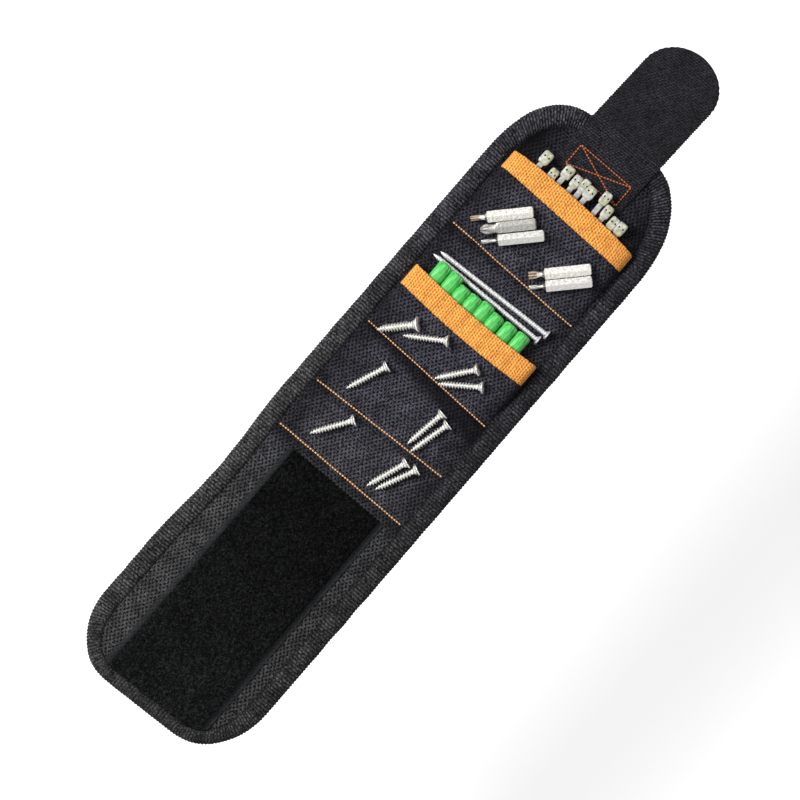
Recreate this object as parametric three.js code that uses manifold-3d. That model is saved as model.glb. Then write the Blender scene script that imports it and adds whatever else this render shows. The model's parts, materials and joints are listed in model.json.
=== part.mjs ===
// Magnetic wristband laid out flat, in millimetres.
// X runs along the band towards the strap tip, Y across it, and Z up from the face that lies on the wrist.
// The band folds at four stitched seams, and the strap folds beyond the end of the band.

import * as THREE from 'three';
import { mergeVertices } from 'three/addons/utils/BufferGeometryUtils.js';
import Module from 'manifold-3d';

const wasm = await Module();
wasm.setup();

// Lengths along the band
const loopEndLength = 137.4;
const sectionALength = 26.6;
const sectionBLength = 32.05;
const sectionCLength = 57.9;
const sectionDLength = 77.75;
const strapReach = 50.3;

// Width and outline of the band
const halfWidth = 45;
const loopEndSlant = 1.8;
const strapEndSlant = 2;
const loopCorners = {
  left: { along: 30, across: 25, power: 2 },
  right: { along: 34, across: 27, power: 2 },
};
const strapCorners = {
  left: { along: 44, across: 31, power: 2.5 },
  right: { along: 46, across: 31, power: 2.1 },
};
const waistDepth = 2.1;
const waistStartShare = 0.44;
const waistEndShare = 1.1;

// Seams lean a little, by these shares of the distance from the middle line
const seamLeanShares = { la: -0.009, ab: -0.047, bc: 0.026, cd: 0.014 };
const clearance = 0.3;
const seamGap = 0.3;

// Layers from the wrist upwards
const clothThickness = 0.8;
const bindingThickness = 0.9;
const bindingWidth = 9.3;
const bindingEndWidth = 7.2;
const bindingStrapWidth = 9.8;
const bindingBulge = 0.4;
const bindingWall = 1.2;
const bindingRoundShare = 0.25;
const bindingShoulderShare = 0.75;
const bindingLipShare = 0.33;
const slotHeight = 2.7;
const paddingRun = 6;
const paddingShoulder = 4.2;
const valleySink = 0.4;
const crownRise = 0.8;

// Magnets
const magnetDiameter = 15;
const magnetThickness = 1.5;
const magnetFloor = 0.5;
const magnetShares = {
  a: [[0.5, 0.42], [0.5, -0.42]],
  b: [[0.5, 0.42], [0.5, -0.42]],
  c: [[0.24, 0], [0.74, 0]],
  d: [[0.2, 0.36], [0.2, -0.4]],
};

// Loop pile tape
const tapeLeftEdge = 25;
const tapeRightEdge = 29.5;
const selvageWidth = 2.5;
const selvageThickness = 0.6;
const pileThickness = 1.8;
const tapeSetBack = 4.9;

// Pockets
const pocketThickness = 0.8;
const pocketFlatHalf = 28;
const pocketSlopeShares = { plug: 0.36, tie: 0.21 };
const mouthSlopeShares = { plug: 0.15, tie: 0.08 };
const plugMouthReach = 32.1;
const plugHemWidth = 10.8;
const plugMouthCurveDepth = 1.5;
const tieMouthReach = 42.6;
const tieHemWidth = 10.6;
const tieMouthCurveDepth = -1.5;
const tieMouthLeanShare = 0.02;
const hemThickness = 1;
const hemLip = 0.7;
const hemEdgeShare = 0.6;
const hemRoundShare = 0.7;

// Strap
const strapHalfWidth = 19;
const strapRootReach = 27.7;
const webbingThickness = 1.4;
const webbingOverhang = 10.8;
const hookTabThickness = 1.2;
const hookPadThickness = 1;
const hookPadInset = 1.5;
const hookPadSetBack = 4;
const tabCornerLength = 17;
const tabCornerPower = 2;
const tabLeanShare = -0.035;
const droopRun = 26;
const strapLiftAngle = 60;

// Held hardware
const screw = { length: 20.8, shank: 2.8, head: 5, headHeight: 2.4, rim: 0.4, point: 4 };
const thickScrew = { length: 19.6, shank: 3.5, head: 6, headHeight: 2.8, rim: 0.5, point: 4.5 };
const pointShare = 0.32;
const recessDepth = 1.3;
const recessShare = 0.55;
const recessFloorShare = 0.7;
const recessCornerShare = 0.45;
const nail = { length: 60.6, shank: 2, head: 4.4, headHeight: 0.8, point: 3 };
const bit = { across: 5, length: 28.3, tipLength: 7.3, neck: 3.2, tip: 3, chamfer: 0.5 };
const bitTipShares = { nose: 0.15, taper: 0.6, wings: 1.4, end: 1.9, groove: 0.5 };
const shortBitLength = 24.8;
const plug = { diameter: 5.7, length: 20, bore: 2.8, boreDepth: 12, rim: 1.2, chamfer: 1.2 };
const plugShares = { boreEnd: 0.8, lip: 0.9, groove: 0.9, nose: 0.8 };
const plugTilt = 8.5;
const tie = { headLength: 5.4, headWidth: 4.8, headHeight: 3.6, tail: 2.4, thickness: 1.2, length: 33 };
const tieTipShare = 0.2;
const tieTilt = 6.5;
const tieEye = { along: 1.3, across: 2.2 };
const tieSlant = 25;
const tieReach = 9.15;
const tieNeckInside = 5;

// Where each screw lies: shares of the section's length and of the half width inside the binding
const screwPlaces = [
  { section: 'a', shares: [0.508, 0.457], heading: -33 },
  { section: 'a', shares: [0.502, -0.438], heading: -19 },
  { section: 'a', shares: [0.539, -0.571], heading: -24 },
  { section: 'b', shares: [0.418, 0.529], heading: -21 },
  { section: 'b', shares: [0.407, -0.43], heading: -8.5 },
  { section: 'b', shares: [0.345, -0.545], heading: -13.5 },
  { section: 'c', shares: [0.135, 0.651], heading: -41.5, thick: true },
  { section: 'c', shares: [0.206, 0.297], heading: -56 },
  { section: 'c', shares: [0.153, -0.277], heading: -37 },
  { section: 'c', shares: [0.107, -0.409], heading: -53 },
];
const nailPlaces = [
  { section: 'c', shares: [0.732, 0.066], heading: -89 },
  { section: 'c', shares: [0.795, 0.02], heading: -87.4 },
];
const bitHeading = -43.8;
// Two rows of bits side by side: the place of the first, and how far each is slid along, of its length
const bitRows = [
  { section: 'd', shares: [0.2154, 0.574], slideShares: [0, 0.083, 0.137], shortBit: 1 },
  { section: 'd', shares: [0.1846, -0.423], slideShares: [0, 0] },
];
// How far each plug stands out, as shares of the mean reach, and its place across, of the flat half width
const plugReach = 8.2;
const plugOutShares = [1.17, 1.17, 0.9, 0.93, 1.04, 0.93, 1, 1.04];
const plugAcrossShares = [0.875, 0.632, 0.407, 0.182, -0.043, -0.268, -0.525, -0.775];
// Cable ties: head place along, of the longest reach, and across, of the flat half width, then head width
const tieOutShares = [0.62, 0.19, 0.77, 0.68, 0.79, 0.71, 1, 0.55, 0.32, 0.35];
const tieAcrossShares = [0.79, 0.543, 0.384, 0.189, 0.048, -0.086, -0.332, -0.489, -0.675, -0.821];
const tieWidthShares = [1, 0.83, 1, 0.82, 0.74, 1, 0.82, 0.82, 0.78, 0.88];

// Sides of the round pieces
const discSides = 24;
const plugSides = 16;
const turnedSides = 12;

// Places along the band, worked out from the lengths
const totalLength =
  loopEndLength + sectionALength + sectionBLength + sectionCLength + sectionDLength + strapReach;
const loopTipX = -totalLength / 2;
const seams = {
  la: loopTipX + loopEndLength,
  ab: loopTipX + loopEndLength + sectionALength,
  bc: loopTipX + loopEndLength + sectionALength + sectionBLength,
  cd: loopTipX + loopEndLength + sectionALength + sectionBLength + sectionCLength,
};
const bandEndX = seams.cd + sectionDLength;
const strapTipX = bandEndX + strapReach;
const foldX = bandEndX + webbingOverhang;
const sections = {
  a: { start: 'la', end: 'ab', length: sectionALength },
  b: { start: 'ab', end: 'bc', length: sectionBLength },
  c: { start: 'bc', end: 'cd', length: sectionCLength },
  d: { start: 'cd', end: null, length: sectionDLength },
};

// Heights, worked out from the layers
const slotCeiling = bindingThickness + slotHeight;
const bindingTop = slotCeiling + bindingThickness + bindingBulge;
const clothSlotUnder = slotCeiling - clearance - clothThickness;
const liningEdgeUnder = bindingThickness + clearance;
const clothEdge = bindingWall + clearance;
const slotMouth = Math.max(bindingWidth, bindingStrapWidth) + clearance;
const liningStep = slotMouth + clearance;
const shoulder = slotMouth + paddingShoulder;
const clothCrownTop = clothSlotUnder + crownRise + clothThickness;
const innerHalf = halfWidth - bindingWidth;

const { degToRad, lerp, smoothstep } = THREE.MathUtils;

const colours = {
  cloth: [0x26262c, 0.85, 0],
  lining: [0x1d1d20, 0.95, 0],
  binding: [0x232327, 0.8, 0],
  pile: [0x0f1010, 1, 0],
  elastic: [0xf0953a, 0.8, 0],
  webbing: [0x202024, 0.85, 0],
  hook: [0x1c1c1f, 0.7, 0],
  magnet: [0x8f9296, 0.35, 1],
  zinc: [0xc9ccd0, 0.3, 1],
  steel: [0xb4b6b8, 0.35, 1],
  chrome: [0xd0d0cc, 0.3, 1],
  plugPlastic: [0x46b860, 0.45, 0],
  tiePlastic: [0xd6d8bc, 0.5, 0],
};

const wristband = new THREE.Group();

// Adds one named piece to the band
function addPiece(name, geometry, finish) {
  const [color, roughness, metalness] = colours[finish];
  const mesh = new THREE.Mesh(geometry, new THREE.MeshStandardMaterial({ color, roughness, metalness }));
  mesh.name = name;
  wristband.add(mesh);
  return mesh;
}

function signedVolume(triangles) {
  let volume = 0;
  for (const [a, b, c] of triangles) volume += a.dot(new THREE.Vector3().crossVectors(b, c));
  return volume;
}

// Closed geometry from triangles of points, turned so that its faces point outwards
function geometryFrom(triangles) {
  const kept = triangles.filter(([a, b, c]) => !a.equals(b) && !b.equals(c) && !c.equals(a));
  const outwards = signedVolume(kept) > 0;
  const numbers = kept.flatMap(([a, b, c]) => (outwards ? [a, b, c] : [a, c, b]).flatMap((p) => p.toArray()));
  const geometry = new THREE.BufferGeometry();
  geometry.setAttribute('position', new THREE.Float32BufferAttribute(numbers, 3));
  return mergeVertices(geometry);
}

function pushQuad(triangles, a, b, c, d) {
  triangles.push([a, b, c], [a, c, d]);
}

// Closed body between an upper and a lower grid of points. A folded grid meets itself in its last row.
function bodyBetween(upper, lower, folded = false) {
  const triangles = [];
  const lastRow = upper.length - 1;
  const lastColumn = upper[0].length - 1;
  for (let i = 0; i < lastRow; i++) {
    for (let j = 0; j < lastColumn; j++) {
      pushQuad(triangles, upper[i][j], upper[i][j + 1], upper[i + 1][j + 1], upper[i + 1][j]);
      pushQuad(triangles, lower[i][j], lower[i + 1][j], lower[i + 1][j + 1], lower[i][j + 1]);
    }
    pushQuad(triangles, upper[i][0], upper[i + 1][0], lower[i + 1][0], lower[i][0]);
    const [near, far] = [upper[i][lastColumn], upper[i + 1][lastColumn]];
    pushQuad(triangles, near, lower[i][lastColumn], lower[i + 1][lastColumn], far);
  }
  for (let j = 0; j < lastColumn; j++) {
    pushQuad(triangles, upper[0][j], lower[0][j], lower[0][j + 1], upper[0][j + 1]);
    if (!folded) {
      pushQuad(triangles, upper[lastRow][j], upper[lastRow][j + 1], lower[lastRow][j + 1], lower[lastRow][j]);
    }
  }
  return geometryFrom(triangles);
}

// Closed body through rings of points that all follow one flat section
function sweep(rings, section) {
  const triangles = [];
  const count = section.length;
  for (let i = 0; i < rings.length - 1; i++) {
    for (let k = 0; k < count; k++) {
      const next = (k + 1) % count;
      pushQuad(triangles, rings[i][k], rings[i][next], rings[i + 1][next], rings[i + 1][k]);
    }
  }
  const contour = section.map(([x, y]) => new THREE.Vector2(x, y));
  const first = rings[0];
  const last = rings[rings.length - 1];
  const facesForward = THREE.ShapeUtils.area(contour) > 0;
  const cap = THREE.ShapeUtils.triangulateShape(contour, []);
  for (const [a, b, c] of cap) {
    const forward = THREE.ShapeUtils.area([contour[a], contour[b], contour[c]]) > 0 === facesForward;
    triangles.push(forward ? [first[a], first[c], first[b]] : [first[a], first[b], first[c]]);
    triangles.push(forward ? [last[a], last[b], last[c]] : [last[a], last[c], last[b]]);
  }
  return geometryFrom(triangles);
}

// Turned body along X. A profile point is a place, a radius and, where it isn't round, a form.
function turned(profile, sides) {
  const ring = ([at, radius, form = () => 1]) =>
    Array.from({ length: sides }, (_, k) => {
      const angle = (2 * Math.PI * k) / sides;
      const reach = radius * form(k, angle);
      return new THREE.Vector3(at, reach * Math.sin(angle), reach * Math.cos(angle));
    });
  const rings = profile.map(ring);
  const triangles = [];
  for (let i = 0; i < rings.length - 1; i++) {
    for (let k = 0; k < sides; k++) {
      const next = (k + 1) % sides;
      pushQuad(triangles, rings[i][k], rings[i][next], rings[i + 1][next], rings[i + 1][k]);
    }
  }
  return geometryFrom(triangles);
}

function toManifold(geometry, matrix = new THREE.Matrix4()) {
  const plain = geometry.clone().applyMatrix4(matrix);
  plain.deleteAttribute('normal');
  plain.deleteAttribute('uv');
  const merged = mergeVertices(plain);
  return new wasm.Manifold(
    new wasm.Mesh({
      numProp: 3,
      vertProperties: Float32Array.from(merged.attributes.position.array),
      triVerts: Uint32Array.from(merged.index.array),
    })
  );
}

function fromManifold(solid) {
  const mesh = solid.getMesh();
  const geometry = new THREE.BufferGeometry();
  geometry.setAttribute('position', new THREE.BufferAttribute(Float32Array.from(mesh.vertProperties), 3));
  geometry.setIndex(new THREE.BufferAttribute(Uint32Array.from(mesh.triVerts), 1));
  return geometry;
}

// The seam's place along X at a distance from the middle line
function seamXAt(seam, y) {
  return seams[seam] + seamLeanShares[seam] * y;
}

// Draws in the left edge where the band has a slight waist
function placed(x, y, z) {
  const start = loopTipX + waistStartShare * loopEndLength;
  const end = loopTipX + waistEndShare * loopEndLength;
  const along = THREE.MathUtils.clamp((x - start) / (end - start), 0, 1);
  const drawn = y > 0 ? 1 - (waistDepth / halfWidth) * Math.sin(Math.PI * along) ** 2 : 1;
  return new THREE.Vector3(x, y * drawn, z);
}

// Rows across a section between two seams. A row gives its edge points and how far the padding has risen.
function sectionRows({ start, end, length }) {
  const distances = [0, paddingRun / 2, paddingRun, length - paddingRun, length - paddingRun / 2, length];
  return distances.map((distance) => ({
    rise: smoothstep(Math.min(distance, length - distance), 0, paddingRun),
    width: bindingWidth,
    point(side, inset) {
      const y = side * (halfWidth - inset);
      const from = seamXAt(start, y) + seamGap / 2;
      const to = seamXAt(end, y) - seamGap / 2;
      return [lerp(from, to, distance / length), y];
    },
  }));
}

// Rows of an end panel, from its seam along both sides and round the corners to the middle of the end
function endRows({ seam, direction, tip, slant, corners, length, endWidth }) {
  const cornerOf = (side) => {
    const corner = side > 0 ? corners.left : corners.right;
    const tipX = tip + (side > 0 ? 0 : slant);
    return { ...corner, x: tipX - direction * corner.along, y: side * (halfWidth - corner.across) };
  };
  const sideRow = (share, rise) => ({
    rise,
    width: bindingWidth,
    point(side, inset) {
      const y = side * (halfWidth - inset);
      const from = seamXAt(seam, y) + (direction * seamGap) / 2;
      return [lerp(from, cornerOf(side).x, share), y];
    },
  });
  const cornerRow = (angle) => ({
    rise: 1,
    width: lerp(bindingWidth, endWidth, smoothstep(angle, 0, Math.PI / 3)),
    point(side, inset) {
      const corner = cornerOf(side);
      const along = (corner.along - inset) * Math.sin(angle) ** (2 / corner.power);
      const across = (corner.across - inset) * Math.cos(angle) ** (2 / corner.power);
      return [corner.x + direction * along, corner.y + side * across];
    },
  });
  const middleRow = {
    rise: 1,
    width: endWidth,
    point(side, inset) {
      return [tip + slant / 2 - direction * inset, (cornerOf(1).y + cornerOf(-1).y) / 2];
    },
  };
  const straight = length - Math.max(corners.left.along, corners.right.along);
  const runShare = paddingRun / straight;
  const sideShares = [0, runShare / 2, runShare, 0.22, 0.36, 0.5, 0.64, 0.78, 0.9];
  const sides = sideShares.map((share) => sideRow(share, smoothstep(share, 0, runShare)));
  const steps = 8;
  const angles = Array.from({ length: steps + 1 }, (_, k) => (k * Math.PI) / 2 / steps);
  return [...sides, ...angles.map(cornerRow), middleRow];
}

const loopEndRows = endRows({
  seam: 'la',
  direction: -1,
  tip: loopTipX,
  slant: loopEndSlant,
  corners: loopCorners,
  length: loopEndLength,
  endWidth: bindingEndWidth,
});
const strapEndRows = endRows({
  seam: 'cd',
  direction: 1,
  tip: bandEndX - strapEndSlant / 2,
  slant: strapEndSlant,
  corners: strapCorners,
  length: sectionDLength,
  endWidth: bindingStrapWidth,
});

// One layer of the band over its rows. Height functions take the distance in from the edge and the rise.
function layer(rows, insets, upperHeight, lowerHeight, folded) {
  const columns = [...insets.map((inset) => [1, inset]), ...insets.toReversed().map((inset) => [-1, inset])];
  const grid = (height) =>
    rows.map((row) =>
      columns.map(([side, inset]) => {
        const [x, y] = row.point(side, inset);
        return placed(x, y, height(inset, row.rise));
      })
    );
  return bodyBetween(grid(upperHeight), grid(lowerHeight), folded);
}

function clothUnder(inset, rise) {
  const inside = clothSlotUnder + lerp(-valleySink, crownRise, rise);
  return inset >= shoulder ? inside : clothSlotUnder;
}

function clothOver(inset, rise) {
  return clothUnder(inset, rise) + clothThickness;
}

function liningOver(inset, rise) {
  return clothUnder(inset, rise) - clearance;
}

function liningUnder(inset) {
  return inset >= liningStep ? 0 : liningEdgeUnder;
}

function clothGeometry(rows, folded) {
  return layer(rows, [clothEdge, slotMouth, shoulder], clothOver, clothUnder, folded);
}

function liningGeometry(rows, folded) {
  return layer(rows, [clothEdge, slotMouth, liningStep, shoulder], liningOver, liningUnder, folded);
}

// Section of the folded binding tape: distance in from the edge, and height
function bindingSection(width) {
  const round = bindingWall * bindingRoundShare;
  const shoulderHeight = slotCeiling + bindingThickness;
  return [
    [width, 0],
    [bindingWall, 0],
    [round, bindingThickness / 2],
    [0, slotCeiling / 2],
    [0, slotCeiling * bindingShoulderShare],
    [round, slotCeiling + bindingThickness * bindingLipShare],
    [bindingWall, shoulderHeight + bindingBulge * bindingLipShare],
    [width / 2, bindingTop],
    [width - bindingThickness / 2, shoulderHeight + bindingBulge / 2],
    [width, shoulderHeight - bindingThickness * bindingLipShare],
    [width, slotCeiling],
    [bindingWall, slotCeiling],
    [bindingWall, bindingThickness],
    [width, bindingThickness],
  ];
}

function bindingRing(row, side) {
  return bindingSection(row.width).map(([inset, z]) => {
    const [x, y] = row.point(side, inset);
    return placed(x, y, z);
  });
}

function bindingGeometry(rings) {
  return sweep(rings, bindingSection(bindingWidth));
}

function endBinding(rows) {
  const left = rows.map((row) => bindingRing(row, 1));
  const right = rows.slice(0, -1).map((row) => bindingRing(row, -1));
  return bindingGeometry([...left, ...right.toReversed()]);
}

// A place on a section from shares of its length and of the half width inside the binding
function placeOn(section, [alongShare, acrossShare]) {
  const { start, length } = sections[section];
  return [seams[start] + alongShare * length, acrossShare * innerHalf];
}

// Magnets lie in open recesses of the lining, under the cloth
function liningWithMagnets(key, lining) {
  let solid = toManifold(lining);
  const recessRadius = magnetDiameter / 2 + clearance;
  const recessHeight = bindingTop;
  const recess = new THREE.CylinderGeometry(recessRadius, recessRadius, recessHeight, discSides);
  const disc = new THREE.CylinderGeometry(magnetDiameter / 2, magnetDiameter / 2, magnetThickness, discSides);
  recess.rotateX(Math.PI / 2);
  disc.rotateX(Math.PI / 2);
  magnetShares[key].forEach((shares, index) => {
    const [x, y] = placeOn(key, shares);
    const cutter = new THREE.Matrix4().makeTranslation(x, y, magnetFloor + recessHeight / 2);
    solid = solid.subtract(toManifold(recess, cutter));
    const magnet = addPiece(`section_${key}_magnet_${index + 1}`, disc.clone(), 'magnet');
    magnet.position.set(x, y, magnetFloor + clearance + magnetThickness / 2);
  });
  return fromManifold(solid);
}

function buildLoopEnd() {
  addPiece('loop_end_cloth', clothGeometry(loopEndRows, true), 'cloth');
  addPiece('loop_end_lining', liningGeometry(loopEndRows, true), 'lining');
  addPiece('loop_end_binding', endBinding(loopEndRows), 'binding');
}

// Loop pile tape with thin selvages, its end cut to the curve of the binding
function buildLoopTape() {
  const underside = clothCrownTop + clearance;
  const edgeInset = bindingEndWidth + clearance;
  const edgeX = (y) => {
    const corner = y > 0 ? loopCorners.left : loopCorners.right;
    const tipX = loopTipX + (y > 0 ? 0 : loopEndSlant);
    const beyond = Math.max(Math.abs(y) - (halfWidth - corner.across), 0) / (corner.across - edgeInset);
    return tipX + corner.along - (corner.along - edgeInset) * Math.sqrt(1 - beyond ** 2);
  };
  const step = selvageThickness / 2;
  const columns = [
    [tapeLeftEdge, selvageThickness],
    [tapeLeftEdge - selvageWidth, selvageThickness],
    [tapeLeftEdge - selvageWidth - step, pileThickness],
    [tapeLeftEdge / 2, pileThickness],
    [0, pileThickness],
    [-tapeRightEdge / 2, pileThickness],
    [-tapeRightEdge + selvageWidth + step, pileThickness],
    [-tapeRightEdge + selvageWidth, selvageThickness],
    [-tapeRightEdge, selvageThickness],
  ];
  const rowShares = [0, 0.25, 0.5, 0.75, 1];
  const grid = (height) =>
    rowShares.map((share) =>
      columns.map(([y, thickness]) => {
        const x = lerp(edgeX(y), seamXAt('la', y) - tapeSetBack, share);
        return placed(x, y, underside + height(thickness));
      })
    );
  const tape = bodyBetween(grid((thickness) => thickness), grid(() => 0));
  addPiece('loop_pile_tape', tape, 'pile');
}

function buildSection(key) {
  const rows = key === 'd' ? strapEndRows : sectionRows(sections[key]);
  const folded = key === 'd';
  addPiece(`section_${key}_cloth`, clothGeometry(rows, folded), 'cloth');
  addPiece(`section_${key}_lining`, liningWithMagnets(key, liningGeometry(rows, folded)), 'lining');
  if (folded) {
    addPiece('section_d_binding', endBinding(rows), 'binding');
    return;
  }
  for (const [name, side] of [['left', 1], ['right', -1]]) {
    const rings = rows.map((row) => bindingRing(row, side));
    addPiece(`section_${key}_binding_${name}`, bindingGeometry(rings), 'binding');
  }
}

// Distance from the middle line to the binding's inner edge, where a pocket ends
function pocketEdge(x) {
  const { along, across, power } = strapCorners.left;
  const inset = bindingStrapWidth + clearance;
  const beyond = Math.max(x - (bandEndX - along), 0) / (along - inset);
  const corner = halfWidth - across + (across - inset) * (1 - beyond ** power) ** (1 / power);
  return Math.min(innerHalf - clearance, corner);
}

// The pocket mouths cross the band in slight curves
function plugMouthX(y) {
  return seams.bc + plugMouthReach + plugMouthCurveDepth * (y / innerHalf) ** 2;
}

function tieMouthX(y) {
  return seams.cd + tieMouthReach + tieMouthLeanShare * y;
}

// Pockets: a sloping sheet that starts at a seam, runs straight up and then more gently under its hem
const pockets = {
  plug: {
    seam: 'bc',
    slope: pocketSlopeShares.plug,
    mouthSlope: mouthSlopeShares.plug,
    mouthX: plugMouthX,
    hemX: (y) => plugMouthX(y) - plugHemWidth,
    breakX: seams.bc + plugMouthReach - plugHemWidth - hemThickness,
  },
  tie: {
    seam: 'cd',
    slope: pocketSlopeShares.tie,
    mouthSlope: mouthSlopeShares.tie,
    mouthX: (y) => tieMouthX(y) + tieMouthCurveDepth * (y / innerHalf) ** 2,
    hemX: (y) => tieMouthX(y) - tieHemWidth,
    breakX: seams.cd + tieMouthReach - tieHemWidth - hemThickness,
  },
};
const pocketStart = seamGap;

// Height of the pocket sheet's underside where it is flat across
function pocketPlane(pocket, x) {
  const start = clothSlotUnder - valleySink + clothThickness + clearance;
  const first = seams[pocket.seam] + pocketStart;
  const straight = Math.min(x, pocket.breakX) - first;
  return start + pocket.slope * straight + pocket.mouthSlope * Math.max(x - pocket.breakX, 0);
}

// The sheet falls to the cloth at both sides
function pocketUnder(pocket, x, y) {
  const sideLevel = clothSlotUnder + clothThickness + clearance;
  const plane = pocketPlane(pocket, x);
  return lerp(plane, sideLevel, smoothstep(Math.abs(y), pocketFlatHalf, pocketEdge(x)));
}

// Places across a pocket, from its left edge to its right edge
function pocketColumns(x) {
  const shares = [1, 0.82, 0.64, 0.46, 0.28, 0];
  const half = shares.map((share) => lerp(pocketFlatHalf, pocketEdge(x), share));
  return [...half, ...half.toReversed().map((y) => -y)];
}

function buildPocket(name, pocket) {
  const rowShares = [0, 0.2, 0.4, 0.6, 0.8, 1];
  const sheetRow = (share) => (y) => lerp(seamXAt(pocket.seam, y) + pocketStart, pocket.breakX, share);
  const rows = [...rowShares.map(sheetRow), (y) => pocket.mouthX(y) - hemLip - clearance];
  const grid = (thickness) =>
    rows.map((rowX) =>
      pocketColumns(rowX(0)).map((y) => {
        const x = rowX(y);
        return new THREE.Vector3(x, y, pocketUnder(pocket, x, y) + thickness);
      })
    );
  addPiece(`${name}_pocket_cloth`, bodyBetween(grid(pocketThickness), grid(0)), 'cloth');

  // The hem lies on the sheet and turns down over its edge
  const over = pocketThickness + clearance;
  const round = hemThickness * hemRoundShare;
  const edge = over + hemThickness * hemEdgeShare;
  const section = [
    { atMouth: false, along: 0, height: over },
    { atMouth: false, along: 0, height: edge },
    { atMouth: false, along: round, height: over + hemThickness },
    { atMouth: true, along: -round, height: over + hemThickness },
    { atMouth: true, along: 0, height: edge },
    { atMouth: true, along: 0, height: 0 },
    { atMouth: true, along: -hemLip, height: 0 },
    { atMouth: true, along: -hemLip, height: over },
  ];
  const rings = pocketColumns(pocket.mouthX(0)).map((y) =>
    section.map(({ atMouth, along, height }) => {
      const x = (atMouth ? pocket.mouthX(y) : pocket.hemX(y)) + along;
      return new THREE.Vector3(x, y, pocketUnder(pocket, x, y) + height);
    })
  );
  const flat = section.map(({ atMouth, along, height }) => [atMouth ? plugHemWidth + along : along, height]);
  addPiece(`${name}_pocket_hem`, sweep(rings, flat), 'elastic');
}

// Strap: its underside comes down from the band's end to the surface that the band lies on
const strapRootX = bandEndX - strapRootReach;
const hookLevel = hookPadThickness + clearance;
const strapRootUnder = clothCrownTop + clearance;
const strapEdgeUnder = bindingTop + clearance;

function strapUnder(x) {
  if (x < bandEndX) {
    return lerp(strapRootUnder, strapEdgeUnder, smoothstep(x, bandEndX - shoulder, bandEndX - slotMouth));
  }
  return lerp(strapEdgeUnder, hookLevel, smoothstep(x, bandEndX, bandEndX + droopRun));
}

function strapMiddle(x) {
  return tabLeanShare * (x - bandEndX);
}

function buildStrap() {
  // Both ends lean back from the fold, so that the tab can also be lifted
  const foldLean = Math.tan(degToRad(strapLiftAngle / 2));
  const onBand = [strapRootX, bandEndX - shoulder, bandEndX - slotMouth, bandEndX];
  const webbing = (thickness) =>
    [...onBand, (bandEndX + foldX) / 2, foldX - seamGap / 2 - foldLean * thickness].map((x) =>
      [1, -1].map((side) => {
        const y = strapMiddle(x) + side * strapHalfWidth;
        return new THREE.Vector3(x, y, strapUnder(x) + thickness);
      })
    );
  addPiece('strap_webbing', bodyBetween(webbing(webbingThickness), webbing(0)), 'webbing');

  const halfWidthAt = (x, inset) => {
    const beyond = Math.max(x - (strapTipX - tabCornerLength), 0) / (tabCornerLength - inset);
    return (strapHalfWidth - inset) * Math.max(1 - beyond ** tabCornerPower, 0) ** (1 / tabCornerPower);
  };
  const straightShares = [0, 0.2, 0.4, 0.6, 0.8];
  const cornerShares = [0, 0.25, 0.5, 0.7, 0.85, 0.94, 0.985, 1];
  const sheet = (startX, inset, height) => {
    const cornerX = strapTipX - tabCornerLength;
    const straight = straightShares.map((share) => lerp(startX, cornerX, share));
    const corner = cornerShares.map((share) => cornerX + share * (tabCornerLength - inset));
    return [...straight, ...corner].map((x, index, all) =>
      [1, 0, -1].map((side) => {
        const half = index === all.length - 1 ? 0 : halfWidthAt(x, inset);
        return new THREE.Vector3(x, strapMiddle(x) + side * half, height(x));
      })
    );
  };
  const tabStart = foldX + seamGap / 2;
  const tabOver = (x) => strapUnder(x) + hookTabThickness;
  const upperStart = tabStart + foldLean * hookTabThickness;
  addPiece('hook_tab', bodyBetween(sheet(upperStart, 0, tabOver), sheet(tabStart, 0, strapUnder)), 'hook');
  const padOver = (x) => strapUnder(x) - clearance;
  const padUnder = (x) => strapUnder(x) - hookLevel;
  const padStart = foldX + hookPadSetBack;
  const pad = bodyBetween(sheet(padStart, hookPadInset, padOver), sheet(padStart, hookPadInset, padUnder));
  addPiece('hook_pad', pad, 'hook');
}

// A surface that hardware lies on: its height along X where it is flat across
const restingSurfaces = {
  flat: { slope: 0, height: () => clothCrownTop },
  plug: { slope: pockets.plug.slope, height: (x) => pocketPlane(pockets.plug, x) + pocketThickness },
  tie: { slope: pockets.tie.slope, height: (x) => pocketPlane(pockets.tie, x) + pocketThickness },
};

// Lays a turned piece, whose tip is at its origin and whose body runs along X, on a surface
function layDown(mesh, surface, [x, y], heading, length, tipLift, headLift) {
  const angle = degToRad(heading);
  const along = new THREE.Vector3(Math.cos(angle), Math.sin(angle), surface.slope * Math.cos(angle));
  along.normalize();
  const normal = new THREE.Vector3(-surface.slope, 0, 1).normalize();
  const middle = new THREE.Vector3(x, y, surface.height(x));
  const tip = middle.clone().addScaledVector(along, -length / 2);
  const head = middle.clone().addScaledVector(along, length / 2);
  tip.addScaledVector(normal, tipLift + clearance);
  head.addScaledVector(normal, headLift + clearance);
  const forward = head.clone().sub(tip).normalize();
  const sideways = new THREE.Vector3().crossVectors(normal, forward).normalize();
  const upward = new THREE.Vector3().crossVectors(forward, sideways);
  mesh.quaternion.setFromRotationMatrix(new THREE.Matrix4().makeBasis(forward, sideways, upward));
  mesh.position.copy(tip);
}

const crossForm = (k) => (k % 3 === 0 ? 1 : recessCornerShare);

function screwGeometry({ length, shank, head, headHeight, rim, point }) {
  const recess = (recessShare * head) / 2;
  return turned(
    [
      [0, 0],
      [point / 2, shank * pointShare],
      [point, shank / 2],
      [length - headHeight, shank / 2],
      [length - rim, head / 2],
      [length, head / 2],
      [length, recess, crossForm],
      [length - recessDepth, recess * recessFloorShare, crossForm],
      [length - recessDepth, 0],
    ],
    turnedSides
  );
}

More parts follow.
